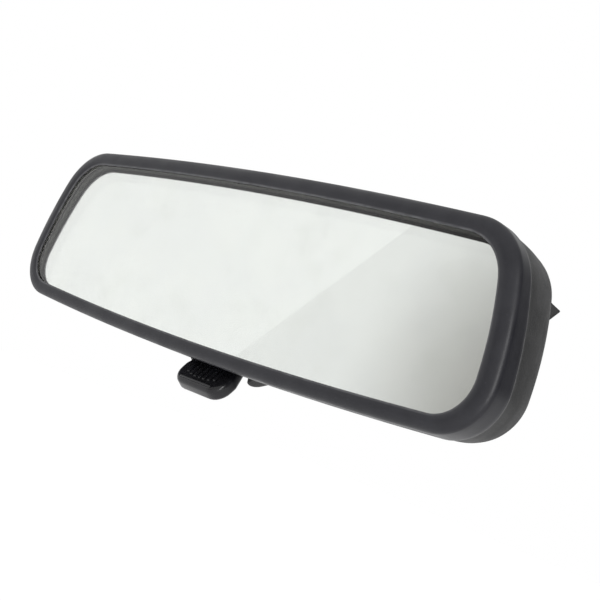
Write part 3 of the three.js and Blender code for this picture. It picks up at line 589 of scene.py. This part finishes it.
def make_bezel():
    """Front frame: eased lip, inner slope, rolled crown, flank, eased seam edge and tongue."""
    # The third value of each section is how strongly it carries the painted edge highlight: full on the
    # eased lip, where its edge catches light.
    sections = [(even(0), LIP_THICKNESS, 0)]
    for degrees in (0, 22, 45, 68, 90):
        angle = math.radians(degrees)
        outward = LIP_EASE * (1 - math.cos(angle))
        sections.append((even(outward), LIP_FRONT - LIP_EASE * 0.5 * math.sin(angle), 1))
    lip_top = LIP_FRONT - LIP_EASE * 0.5
    for share in (0.25, 0.5, 0.75, 0.9):
        rise = math.sin(math.pi / 2 * share)
        across = LIP_EASE + (SLOPE_WIDTH - LIP_EASE) * share
        sections.append((even(across), lip_top + (SLOPE_END - lip_top) * rise, 0))
    for degrees in (0, 4, 9, 15, 22, 30, 38, 46, 54, 62, 70, 77, 84, 90):
        angle = math.radians(degrees)
        depth = CROWN_TOP + (CROWN_DEPTH - CROWN_TOP) * (1 - math.cos(angle))
        sections.append((towards_rim(SLOPE_WIDTH, math.sin(angle)), depth, 0))
    edge_highlight = [section[2] for section in sections]
    rings = [ring(offset, depth) for offset, depth, _ in sections]
    for share in (0.25, 0.5, 0.75):
        depth = CROWN_DEPTH + (SEAM_Y - CROWN_DEPTH) * share
        rings.append(ring(towards_rim(0, 1), depth, SEAM_LEAN * share))
        edge_highlight.append(0)
    # The seam edge carries part of the painted highlight.
    for inset_by, back in ((0, 0.45), (0.06, 0.22), (0.2, 0.07), (0.42, 0)):
        rings.append(ring(towards_rim(0, 1, inset_by), SEAM_Y - back, SEAM_LEAN))
        edge_highlight.append(0.5 if inset_by else 0.2)
    tongue_back = SEAM_Y + TONGUE["length"]
    rings.append(ring(towards_rim(0, 1, TONGUE["inset"]), SEAM_Y, SEAM_LEAN))
    rings.append(ring(towards_rim(0, 1, TONGUE["inset"]), tongue_back - 0.4, SEAM_LEAN))
    rings.append(ring(towards_rim(0, 1, TONGUE["inset"] + 0.4), tongue_back, SEAM_LEAN))
    rings.append(ring(even(TONGUE["pocket"]), tongue_back, SEAM_LEAN))
    rings.append(ring(even(TONGUE["pocket"]), LIP_THICKNESS))
    edge_highlight += [0] * 5
    bezel = loft("bezel_frame", rings, IN_HEAD, looped=True, sharp=38)
    paint_edge_highlight(bezel, np.repeat(edge_highlight, len(rings[0])))
    stand_for(bezel, BEZEL, "head", "bezel_plastic", "bezel")


GLASS_FRONT = LIP_THICKNESS + GAP
GLASS_THICKNESS = 4.3
GLASS_BACK = GLASS_FRONT + GLASS_THICKNESS
GLASS_WEDGE = 0.045
FILM_THICKNESS = 0.3
GLASS_EDGE = TONGUE["pocket"] - GAP


def make_glass():
    """Wedge of glass with ground edges, and the silvering behind it."""
    ease = 0.35
    rings = [
        ring(even(GLASS_EDGE - ease), GLASS_FRONT),
        ring(even(GLASS_EDGE), GLASS_FRONT + ease),
        ring(even(GLASS_EDGE), GLASS_BACK - ease, GLASS_WEDGE),
        ring(even(GLASS_EDGE - ease), GLASS_BACK, GLASS_WEDGE),
    ]
    wedge = loft("glass_wedge", rings, IN_HEAD, sharp=20)
    stand_for(wedge, GLASS, "head", "glass", "prism_glass")
    wedge.data.materials.append(GROUND_EDGE)
    for polygon in wedge.data.polygons:
        if len(polygon.vertices) == 4:
            polygon.material_index = 1
    film = [ring(even(GLASS_EDGE), GLASS_BACK + GAP + t, GLASS_WEDGE) for t in (0, FILM_THICKNESS)]
    silver = loft("silver_film", film, IN_HEAD, sharp=20)
    stand_for(silver, SILVER, "head", "silvering", "silvered_backing")


# ---------------------------------------------------------------- rear housing

WALL = 1.6
BACK_WALL = 2.3
# Depth, lean, and how far each side stands out from the lip's outline.
STATIONS = [
    (SEAM_Y + GAP, SEAM_LEAN, 5.4, 4.7, 6.3, 4.7),
    (13, -0.03, 5.3, 4.5, 5.8, 4.3),
    (21, 0.02, 4.9, 3.6, 3.9, 3.3),
    (29.3, 0.065, 3.8, 1.4, 0.3, 1.9),
    (33.4, 0.065, 1.5, -1.2, -4, 1.2),
    (36.4, 0.065, -3, -5.4, -10.4, 0.6),
    (38.2, 0.065, -8.4, -10.2, -20, 0.2),
    (39, 0.065, -15, -16, -42, -3),
]
SLOT = {"half": 14, "front": 6, "back": 28, "bottom": -42, "top": -26.2, "mouth": 15.4, "mouth_top": -31}
CHEEK = {"half": 19.4, "root": -30, "edge": -34.4, "depth": -37.2, "front": 16, "back": 24.5}
HINGE_EAR = {"x": (18.6, 23.6), "y": (10.6, 19.4), "below": 4, "top": 33.6}
LEVER_EAR = {"x": (14.6, 18.6), "reach": 4, "bottom": -34, "above": 3.6}
HINGE_BORE = 1.8
PIVOT_BORE = 1.55
CRANK_BORE = 1.5
BORE_REACH = 30
# The arm's hole, as radius and depth, opened out by an ease and a flare.
REAR_HOLE = 18.6
HOLE = {"front": 28, "ease_start": 36.9, "ease": 1.2, "ease_end": 38.2, "flare": 8, "back": 50}


def station_curve(per_span=5):
    """The housing's stations joined by a smooth curve through them all."""
    known = np.array(STATIONS)
    chord = np.concatenate([[0], np.cumsum(np.linalg.norm(np.diff(known[:, [0, 4]], axis=0), axis=1))])
    slopes = np.gradient(known, chord, axis=0)
    rows = []
    for i in range(len(known) - 1):
        span = chord[i + 1] - chord[i]
        for k in range(per_span):
            t = k / per_span
            rows.append((2 * t**3 - 3 * t**2 + 1) * known[i] + (t**3 - 2 * t**2 + t) * span * slopes[i]
                        + (3 * t**2 - 2 * t**3) * known[i + 1] + (t**3 - t**2) * span * slopes[i + 1])
    rows.append(known[-1])
    return rows


def housing_rings(wall=0.0):
    """Rings of the housing's skin, or of the hollow inside it when a wall is given."""
    rings = []
    first, last = STATIONS[0][0], STATIONS[-1][0]
    for row in station_curve():
        y, lean, *offsets = row
        share = min(1, max(0, (y - SEAM_Y) / (last - SEAM_Y)))
        backness = share * share * (3 - 2 * share)
        thick = wall * (1 + 0.8 * backness)
        offset = dict(zip(("top", "bottom", "side", "corner"), (o - thick for o in offsets)))
        rings.append(ring(offset, y - (BACK_WALL * backness if wall else 0), lean))
    if wall:
        rings.insert(0, ring(towards_rim(0, 1, 0.6 + wall), first - 7))
    return rings


def make_cheeks():
    """Two smooth swellings below the housing, one on each side of the lever's slot."""
    cheeks = []
    across, along = 22, 20
    for side in (-1, 1):
        vertices, faces = [], []
        for i in range(across + 1):
            u = i / across
            x = side * (SLOT["mouth"] + (CHEEK["half"] - SLOT["mouth"]) * u)
            fall = 1 - u * u * (3 - 2 * u)
            for j in range(along + 1):
                v = j / along
                y = CHEEK["front"] + (CHEEK["back"] - CHEEK["front"]) * v
                swell = math.sin(math.pi * v ** 0.62) ** 0.45 if 0 < v < 1 else 0.0
                low = CHEEK["edge"] + (CHEEK["depth"] - CHEEK["edge"]) * fall * swell
                vertices.append((x, y, low))
        top = len(vertices)
        vertices += [(x, y, CHEEK["root"]) for x, y, _ in vertices]
        row = along + 1
        for i in range(across):
            for j in range(along):
                a = i * row + j
                faces.append((a, a + 1, a + row + 1, a + row))
                faces.append((top + a, top + a + row, top + a + row + 1, top + a + 1))
        border = list(range(along))
        border += [i * row + along for i in range(across)]
        border += [across * row + along - j for j in range(along)]
        border += [(across - i) * row for i in range(across)]
        for a, b in zip(border, border[1:] + border[:1]):
            faces.append((a, top + a, top + b, b))
        cheeks.append(make_object("cheek", vertices, faces, IN_HEAD))
    return cheeks


def make_housing():
    """Rear shell: grained skin with an eased seam edge, cheeks, ears, arm hole, slot and bores."""
    rings = housing_rings()
    first = rings[0]
    y0, lean, *offsets = STATIONS[0]
    eased = [(0.55, 0.0), (0.25, 0.1), (0.08, 0.28)]
    front = []
    for inset_by, back in eased:
        offset = dict(zip(("top", "bottom", "side", "corner"), (o - inset_by for o in offsets)))
        front.append(ring(offset, y0 + back, lean))
    rings = front + [first + np.array((0, 0.55, 0))] + rings[1:]
    shell = loft("housing_shell", rings, IN_HEAD)
    join(shell, *make_cheeks())
    cut(shell, loft("hollow", housing_rings(WALL), IN_HEAD))
    ears = []
    for side in (-1, 1):
        hinge_x = sorted(side * x for x in HINGE_EAR["x"])
        hinge_z = (HINGE.z - HINGE_EAR["below"], HINGE_EAR["top"])
        ears.append(eased_block("ear", hinge_x, HINGE_EAR["y"], hinge_z, IN_HEAD))
        lever_x = sorted(side * x for x in LEVER_EAR["x"])
        lever_y = (LEVER.y - LEVER_EAR["reach"], LEVER.y + LEVER_EAR["reach"])
        lever_z = (LEVER_EAR["bottom"], LEVER.z + LEVER_EAR["above"])
        ears.append(eased_block("ear", lever_x, lever_y, lever_z, IN_HEAD))
    join(shell, *ears)
    hole = [
        (0, HOLE["front"]),
        (REAR_HOLE, HOLE["front"]),
        (REAR_HOLE, HOLE["ease_start"]),
        (REAR_HOLE + HOLE["ease"], HOLE["ease_end"]),
        (REAR_HOLE + HOLE["flare"], HOLE["back"]),
        (0, HOLE["back"]),
    ]
    cut(
        shell,
        lathe("hole", hole, IN_HEAD @ Matrix.Translation((0, 0, BALL.z)), 96),
        eased_block("slot", (-SLOT["half"], SLOT["half"]), (SLOT["front"], SLOT["back"]),
                    (SLOT["bottom"], SLOT["top"]), IN_HEAD, 1.0),
        eased_block("mouth", (-SLOT["mouth"], SLOT["mouth"]), (SLOT["front"], SLOT["back"]),
                    (SLOT["bottom"], SLOT["mouth_top"]), IN_HEAD, 0.0),
        rod("pin_bore", HINGE_BORE, -BORE_REACH, BORE_REACH, IN_HEAD @ Matrix.Translation(HINGE)),
        rod("pin_bore", PIVOT_BORE, -BORE_REACH, BORE_REACH, IN_HEAD @ Matrix.Translation(LEVER)),
    )
    # Painted highlight: the skin's front seam edge gets the paler edge colour, fading out over half a
    # millimetre behind it.
    points = np.empty(len(shell.data.vertices) * 3)
    shell.data.vertices.foreach_get("co", points)
    points = (points.reshape(-1, 3) - np.array(HEAD_ORIGIN)) / MM
    depth = points[:, 1] - SEAM_LEAN * points[:, 2]
    paint_edge_highlight(shell, np.clip((y0 + 0.6 - depth) / 0.5, 0, 1))
    stand_for(shell, HOUSING, "head", "housing_plastic", "rear_housing")


# ---------------------------------------------------------------- lever

TAB = {"top": -2.6, "root": 10.8, "shoulder": 8, "flare": 14, "tip": 13.2, "length": 22.5, "half": 2.7}
RIB = {"count": 7, "pitch": 2.45, "half": 1.15 / 2, "height": 0.55, "low": 3.5, "top": -8.2, "shorter": 1.1}
TIP_BAR = {"half": 8.6, "low": 1.6, "high": 2.8}
HUB = {"radius": 3.8, "near": 5, "far": 14}
EYE = {"radius": 2.3, "far": 7.6}
NECK_HALF = 2.1
CRANK_REACH = 4.2
CRANK_LEAN = math.radians(-9)
CRANK_PIN = (CRANK_REACH * math.sin(CRANK_LEAN), CRANK_REACH * math.cos(CRANK_LEAN))


def make_rib(x, half, low, high):
    """A raised bar on the tab's front, from one height to another."""
    corners = [(x - half, low), (x + half, low), (x + half, high), (x - half, high)]
    bar = rounded_outline([(across, up, 0.5) for across, up in corners], 4)
    front = -TAB["half"]
    return pillow("rib", bar, front - RIB["height"], front + 0.4, ON_LEVER, "XZY", edge=0.4, steps=3)


def make_lever():
    """Finger tab with raised grip ribs, its hubs on the pivot pin and the crank's cheeks."""
    face = rounded_outline([
        (-TAB["root"], TAB["top"], 1.8),
        (-TAB["root"], -TAB["shoulder"], 3),
        (-TAB["tip"], -TAB["flare"], 3),
        (-TAB["tip"], -TAB["length"], 6),
        (TAB["tip"], -TAB["length"], 6),
        (TAB["tip"], -TAB["flare"], 3),
        (TAB["root"], -TAB["shoulder"], 3),
        (TAB["root"], TAB["top"], 1.8),
    ], 6)
    tab = pillow("lever_tab", face, -TAB["half"], TAB["half"], ON_LEVER, "XZY", edge=1.7, steps=8)
    ribs = []
    for i in range(RIB["count"]):
        x = (i - (RIB["count"] - 1) / 2) * RIB["pitch"]
        short = RIB["shorter"] * abs(2 * i / (RIB["count"] - 1) - 1) ** 3
        ribs.append(make_rib(x, RIB["half"], -TAB["length"] + RIB["low"] + short, RIB["top"]))
    low, high = -TAB["length"] + TIP_BAR["low"], -TAB["length"] + TIP_BAR["high"]
    ribs.append(make_rib(0, TIP_BAR["half"], low, high))
    for side in (-1, 1):
        def span(near, far):
            return sorted((side * near, side * far))
        hub = rod("hub", HUB["radius"], *span(HUB["near"], HUB["far"]), ON_LEVER, segments=48)
        neck_y = (CRANK_PIN[0] - NECK_HALF, CRANK_PIN[0] + NECK_HALF)
        neck_x = span(HUB["near"], EYE["far"])
        neck = eased_block("neck", neck_x, neck_y, (0, CRANK_PIN[1]), ON_LEVER, 0.2)
        eye = rod("eye", EYE["radius"], *neck_x, ON_LEVER @ Matrix.Translation((0, *CRANK_PIN)))
        join(hub, neck, eye)
        join(tab, hub)
    join(tab, *ribs)
    cut(
        tab,
        rod("bore", PIVOT_BORE, -BORE_REACH, BORE_REACH, ON_LEVER),
        rod("bore", CRANK_BORE, -BORE_REACH, BORE_REACH, ON_LEVER @ Matrix.Translation((0, *CRANK_PIN))),
    )
    paint_edge_highlight(tab, np.zeros(len(tab.data.vertices)))
    stand_for(tab, GLOSSY, "lever", "lever_plastic", "toggle_lever")


# ---------------------------------------------------------------- ball joint

# The angle from +Y at which the cup and the clamp open, and the spheres' radii.
MOUTH = 63
SHELLS = {"ball": 7.5, "cup": 7.8, "clamp": 9.3, "thick": 1.2}


def arc(radius, start, end, steps):
    """Radius and height along a circle, with angles in degrees from +Y."""
    angles = [math.radians(start + (end - start) * i / steps) for i in range(steps + 1)]
    return [(abs(radius * math.sin(a)), radius * math.cos(a)) for a in angles]


def make_ball_joint():
    """Ball stud, plastic cup and clamp ring."""
    neck = 4.0
    neck_angle = math.degrees(math.asin(neck / SHELLS["ball"]))
    stud = lathe("ball_and_stud", [
        *arc(SHELLS["ball"], 180, neck_angle + 4, 30),
        (neck + 0.15, 7.1), (neck, 7.8), (neck, 12),
        (neck - 0.2, 12.3), (neck - 0.2, 12.9), (neck, 13.2),
        (neck, 19.3), (3.7, 19.6), (3, 19.6), (3, 28), (0, 28),
    ], ON_ARM)
    stand_for(stud, STEEL, "arm", "steel", "ball_stud")
    cup = lathe("cup_liner", [
        *arc(SHELLS["cup"] + SHELLS["thick"], 180, MOUTH + 2, 26),
        *arc(SHELLS["cup"] + SHELLS["thick"] * 0.75, MOUTH, MOUTH, 1)[:1],
        *arc(SHELLS["cup"] + SHELLS["thick"] * 0.25, MOUTH, MOUTH, 1)[:1],
        *arc(SHELLS["cup"], MOUTH + 2, 180, 26),
    ], AT_BALL)
    stand_for(cup, INNER, "cup", "inner_plastic", "ball_cup")
    inner, outer = SHELLS["clamp"], SHELLS["clamp"] + SHELLS["thick"]
    band = lathe("clamp_band", [*arc(inner, MOUTH, 150, 24), *arc(outer, 150, MOUTH, 24)], AT_BALL)
    stand_for(band, SPRING, "ring", "spring_steel", "clamp_ring")


# ---------------------------------------------------------------- stay arm and foot

ARM_START = 20
ARM_REACH = 53
ARM_DROP = 17
ARM_RADIUS = 6
ARM_SWELL = 0.45
ARM_OVAL = (1.1, 0.92)
STUD_BORE = {"radius": 3.3, "end": 28.3}
FOOT_THICKNESS = 11
FLANGE = {"half_x": 13.6, "half_y": 10, "thick": 3.9, "corner": 4}
SCREW_X = 10.2
SCREW_HOLE = 1.8
SET_SCREW_Y = 13.4


def bezier(points, t):
    a, b, c, d = points
    return a * (1 - t) ** 3 + b * 3 * t * (1 - t) ** 2 + c * 3 * t * t * (1 - t) + d * t ** 3


def box_outline(half_x, half_y, corner, steps=8):
    corners = [(-half_x, -half_y), (half_x, -half_y), (half_x, half_y), (-half_x, half_y)]
    return rounded_outline([(x, y, corner) for x, y in corners], steps)


def make_arm():
    """Cast arm: an oval limb that sweeps up from the ball stud to a flange under the foot."""
    under = FOOT_THICKNESS + GAP + FLANGE["thick"] / 2
    sine, cosine = math.sin(GLASS_TILT), math.cos(GLASS_TILT)
    end = Vector((0, FOOT_REACH - under * sine, FOOT_RISE - under * cosine))
    drop = Vector((0, ARM_DROP * sine, ARM_DROP * cosine))
    path = [Vector((0, ARM_START, 0)), Vector((0, ARM_REACH, 0)), end - drop, end]
    steps, sides = 60, 48
    rings = []
    for i in range(steps + 1):
        t = i / steps
        ahead = (bezier(path, min(1, t + 0.001)) - bezier(path, max(0, t - 0.001))).normalized()
        across = Vector((1, 0, 0))
        upward = across.cross(ahead)
        radius = ARM_RADIUS + ARM_SWELL * math.cos(2 * math.pi * t)
        if i == 0:
            radius -= 0.5
        middle = bezier(path, t)
        rings.append([
            middle + across * radius * ARM_OVAL[0] * x + upward * radius * ARM_OVAL[1] * y
            for x, y in circle(1, sides)
        ])
    limb = loft("stay_arm_casting", np.array(rings), ON_ARM)
    low = -FOOT_THICKNESS - GAP - FLANGE["thick"]
    flange = pillow("flange", box_outline(FLANGE["half_x"], FLANGE["half_y"], FLANGE["corner"]),
                    low, -FOOT_THICKNESS - GAP, ON_FOOT, edge=0.8)
    join(limb, flange)
    for side in (-1, 1):
        place = ON_FOOT @ Matrix.Translation((side * SCREW_X, 0, 0))
        cut(limb, rod("hole", SCREW_HOLE, low - 9, 0, place, "Z", edge=0.0001))
    cut(limb, rod("bore", STUD_BORE["radius"], ARM_START - 2, STUD_BORE["end"], ON_ARM, "Y"))
    stand_for(limb, CASTING, "arm", "black_casting", "stay_arm")


BUTTON = {"top": 0.4, "bevel": -1.6, "bottom": -4.6, "bevel_width": 1.5, "narrow": 10.2, "wide": 11.2}
CHANNEL = {"start": -14.4, "end": 20, "clearance": 0.35, "top": 3}
FOOT = {"half": 13.2, "toe_half": 15.2, "reach": 18, "flare": 4, "draft": 1.5, "corner": 1.6, "edge": 0.5}
PAD_OUTLINE = [(-8.4, -13.5), (8.4, -13.5), (9.4, 14.5), (-9.4, 14.5)]


def button_section(y, half, clearance, top):
    """A section of the wedge button, or of the channel round it, across the foot."""
    neck = half - BUTTON["bevel_width"] + clearance
    wide = half + clearance
    right = [
        (neck, top),
        (neck, BUTTON["top"]),
        (wide, BUTTON["bevel"]),
        (wide, BUTTON["bottom"] - clearance),
    ]
    if top <= BUTTON["top"]:
        right = right[1:]
    left = [(-x, z) for x, z in reversed(right)]
    return [(x, y, z) for x, z in right + left]


def make_foot():
    """Foot: a drafted block with a flared toe and an undercut channel for the button."""
    rings = []
    edge = FOOT["edge"]
    for z, shrink in ((-FOOT_THICKNESS, edge), (-FOOT_THICKNESS + edge * 0.3, edge * 0.3),
                      (-FOOT_THICKNESS + edge, 0), (-0.5, 0), (-0.15, 0.12), (0, 0.4)):
        toe = FOOT["reach"] - FOOT["draft"] * -z / FOOT_THICKNESS
        points = rounded_outline([
            (-FOOT["half"], -FOOT["reach"], FOOT["corner"]),
            (FOOT["half"], -FOOT["reach"], FOOT["corner"]),
            (FOOT["half"], toe - FOOT["flare"], FOOT["corner"]),
            (FOOT["toe_half"], toe, 0.6),
            (-FOOT["toe_half"], toe, 0.6),
            (-FOOT["half"], toe - FOOT["flare"], FOOT["corner"]),
        ], 6)
        rings.append([(p.x, p.y, z) for p in inset(points, shrink)])
    foot = loft("foot_casting", np.array(rings), ON_FOOT)
    channel = [
        button_section(CHANNEL["start"], BUTTON["narrow"], CHANNEL["clearance"], CHANNEL["top"]),
        button_section(CHANNEL["end"], BUTTON["wide"], CHANNEL["clearance"], CHANNEL["top"]),
    ]
    at_set_screw = ON_FOOT @ Matrix.Translation((0, SET_SCREW_Y, 0))
    cut(
        foot,
        loft("channel", np.array(channel), ON_FOOT),
        rod("set_hole", 2.3, -12, -4, at_set_screw, "Z"),
        eased_block("spring_bed", (-4, 4), (-10, 10), (-6.3, -4), ON_FOOT, 0),
    )
    for side in (-1, 1):
        place = ON_FOOT @ Matrix.Translation((side * SCREW_X, 0, 0))
        cut(foot, rod("hole", SCREW_HOLE, -12, -7.6, place, "Z"))
    stand_for(foot, CASTING, "arm", "black_casting", "windshield_foot")
    button = [button_section(-14, BUTTON["narrow"], 0, BUTTON["top"]),
              button_section(15, BUTTON["wide"], 0, BUTTON["top"])]
    wedge = loft("wedge_button", np.array(button), ON_FOOT)
    bevel(wedge, 0.3, 3)
    stand_for(wedge, ZINC, "arm", "zinc", "windshield_button")
    pad = rounded_outline([(x, y, 1.5) for x, y in PAD_OUTLINE])
    bond = pillow("bond_pad", pad, 0.7, 1.5, ON_FOOT, edge=0.15, steps=2)
    stand_for(bond, PAD, "arm", "adhesive", "adhesive_pad")


def socket_screw(name, radius, head, shank, x, y, low, high, hexagon):
    """A screw that points up, with a domed head below and a hexagon socket in it."""
    place = ON_FOOT @ Matrix.Translation((x, y, 0)) @ Matrix.Rotation(math.pi / 2, 4, "X")
    profile = [
        (0, low), (radius * 0.8, low), (radius * 0.95, low + head * 0.12),
        (radius, low + head * 0.35), (radius, low + head), (shank, low + head),
    ]
    pitch = 0.5
    turn = low + head + pitch
    while turn < high - pitch:
        profile += [(shank, turn), (shank - 0.16, turn + pitch / 2)]
        turn += pitch
    profile += [(shank, high - 0.3), (shank - 0.4, high), (0, high)]
    screw = lathe(name, profile, place, 40)
    recess = [(0, low - 1), (hexagon, low - 1), (hexagon, low + head * 0.55), (0, low + head * 0.75)]
    return cut(screw, lathe("recess", recess, place, 6))


def make_screws():
    """The two screws that hold the flange, and the set screw that locks the foot."""
    head = 1.8
    low = -FOOT_THICKNESS - 2 * GAP - FLANGE["thick"] - head
    for side, node in ((-1, "foot_screw_left"), (1, "foot_screw_right")):
        screw = socket_screw(node + "_turned", 2.6, head, 1.5, side * SCREW_X, 0, low, -8, 1.2)
        stand_for(screw, STEEL, "arm", "steel", node)
    start = -FOOT_THICKNESS + 0.4
    grub = socket_screw("set_screw_turned", 2, 4, 2, 0, SET_SCREW_Y, start, -4.9, 1.15)
    stand_for(grub, STEEL, "arm", "steel", "set_screw")


# ---------------------------------------------------------------- CAD nodes that stay

def dress_cad_nodes():
    """Materials for the inner pieces whose CAD shape is right as it is."""
    finishes = {
        "glass_foam_pad": FOAM,
        "detent_spring": SPRING,
        "detent_spring_screw": STEEL,
        "carrier_stop_pad": RUBBER,
        "toggle_carrier": INNER,
        "carrier_hinge_pin": STEEL,
        "lever_pivot_pin": STEEL,
        "lever_crank_pin": STEEL,
        "foot_leaf_spring": SPRING,
    }
    for node, material in finishes.items():
        dress(frame["nodes"][node], material)


# ---------------------------------------------------------------- studio

CAMERA_FROM_HEAD = Vector((0.294807, -0.245680, -0.040492))
CAMERA_HEADING = math.radians(45.81)
CAMERA_RISE = math.radians(-5.595)
CAMERA_ROLL = math.radians(21.15)
LENS = 65.94
SENSOR = 36
FLOOR_DROP = 0.30
FLOOR_HALF = 6.0
# Heading and rise of the middle, and how far from it the darkest part and the whole spot reach,
# all in degrees. Then how strong it is, and its colour.
DIM_SPOTS = [
    ((-118, 11, 2, 16), 0.70, (0.10, 0.08, 0.06, 1)),
    ((30, 5, 15, 80), 0.85, (0.05, 0.05, 0.05, 1)),
]


def make_camera():
    """Camera in front, to the right and a little below the head, rolled as the head hangs."""
    camera = bpy.data.objects.new("camera", bpy.data.cameras.new("camera"))
    bpy.context.scene.collection.objects.link(camera)
    camera.data.lens = LENS
    camera.data.sensor_width = SENSOR
    back = Vector((
        math.sin(CAMERA_HEADING) * math.cos(CAMERA_RISE),
        -math.cos(CAMERA_HEADING) * math.cos(CAMERA_RISE),
        math.sin(CAMERA_RISE),
    ))
    level = Vector((0, 0, 1)).cross(back).normalized()
    upright = back.cross(level)
    right = level * math.cos(CAMERA_ROLL) + upright * math.sin(CAMERA_ROLL)
    up = back.cross(right)
    turn = Matrix((right, up, back)).transposed().to_4x4()
    camera.matrix_world = Matrix.Translation(HEAD_ORIGIN + CAMERA_FROM_HEAD) @ turn
    bpy.context.scene.camera = camera


def make_softbox(name, centre, facing, edge, size, power, colour=(1, 1, 1)):
    """A rectangular light. Its long edge runs along one direction and it looks against another."""
    light = bpy.data.lights.new(name, "AREA")
    light.shape = "RECTANGLE"
    light.size, light.size_y = size
    light.energy = power
    light.color = colour
    lamp = bpy.data.objects.new(name, light)
    bpy.context.scene.collection.objects.link(lamp)
    outward = Vector(facing).normalized()
    along = Vector(edge)
    along = (along - outward * along.dot(outward)).normalized()
    turn = Matrix((along, outward.cross(along), outward)).transposed().to_4x4()
    lamp.matrix_world = Matrix.Translation(HEAD_ORIGIN + Vector(centre)) @ turn


def make_world():
    """White surroundings, dimmer in a spot in front of the glass and over a wide area behind it."""
    world = bpy.data.worlds.new("studio")
    bpy.context.scene.world = world
    world.use_nodes = True
    tree = world.node_tree
    sky = tree.nodes["Background"]
    direction = tree.nodes.new("ShaderNodeTexCoord").outputs["Generated"]
    tone = (1.0, 1.0, 1.0, 1)
    for angles, strength, colour in DIM_SPOTS:
        heading, rise, inner, outer = (math.radians(angle) for angle in angles)
        centre = Vector((
            math.cos(rise) * math.cos(heading),
            math.cos(rise) * math.sin(heading),
            math.sin(rise),
        ))
        nearness = tree.nodes.new("ShaderNodeVectorMath")
        nearness.operation = "DOT_PRODUCT"
        nearness.inputs[1].default_value = centre
        tree.links.new(direction, nearness.inputs[0])
        shade = tree.nodes.new("ShaderNodeMapRange")
        shade.interpolation_type = "SMOOTHSTEP"
        shade.inputs["From Min"].default_value = math.cos(outer)
        shade.inputs["From Max"].default_value = math.cos(inner)
        shade.inputs["To Max"].default_value = strength
        tree.links.new(nearness.outputs["Value"], shade.inputs["Value"])
        mixed = tree.nodes.new("ShaderNodeMix")
        mixed.data_type = "RGBA"
        tree.links.new(shade.outputs["Result"], mixed.inputs[0])
        if isinstance(tone, tuple):
            mixed.inputs[6].default_value = tone
        else:
            tree.links.new(tone, mixed.inputs[6])
        mixed.inputs[7].default_value = colour
        tone = mixed.outputs[2]
    tree.links.new(tone, sky.inputs["Color"])
    sky.inputs["Strength"].default_value = 1.0


def make_floor():
    """A plain pale floor below the mirror."""
    paint = Surface("pale_floor")
    patches = paint.spread(paint.noise(400, 3), 0, 1)
    paint.colour(paint.mix(patches, (0.93, 0.93, 0.93), (0.95, 0.95, 0.95)))
    paint.roughness(paint.spread(paint.noise(30, 3), 0.7, 0.8))
    paint.set(Emission_Color=(1, 1, 1, 1), Emission_Strength=0.25)
    half = FLOOR_HALF
    z = CAD_BOX[0].z - FLOOR_DROP
    corners = [(-half, -half, z), (half, -half, z), (half, half, z), (-half, half, z)]
    mesh = bpy.data.meshes.new("floor")
    mesh.from_pydata(corners, [], [(0, 1, 2, 3)])
    floor = bpy.data.objects.new("floor", mesh)
    bpy.context.scene.collection.objects.link(floor)
    mesh.materials.append(paint.material)


def make_studio():
    make_world()
    make_floor()
    make_softbox("strip_light", (0.92, -0.78, 0.1), (0.76, -0.64, 0.1), (0, 0, 1), (0.9, 0.1), 5.5)
    make_softbox("front_softbox", (-0.970, -0.607, 0.419), (-0.75, -0.62, 0.23),
                 (0.441, -0.209, 0.873), (1.1, 0.6), 0.22)
    bpy.context.scene.view_settings.view_transform = "Standard"


make_camera()
make_bezel()
make_glass()
make_housing()
make_lever()
make_ball_joint()
make_arm()
make_foot()
make_screws()
dress_cad_nodes()
make_studio()
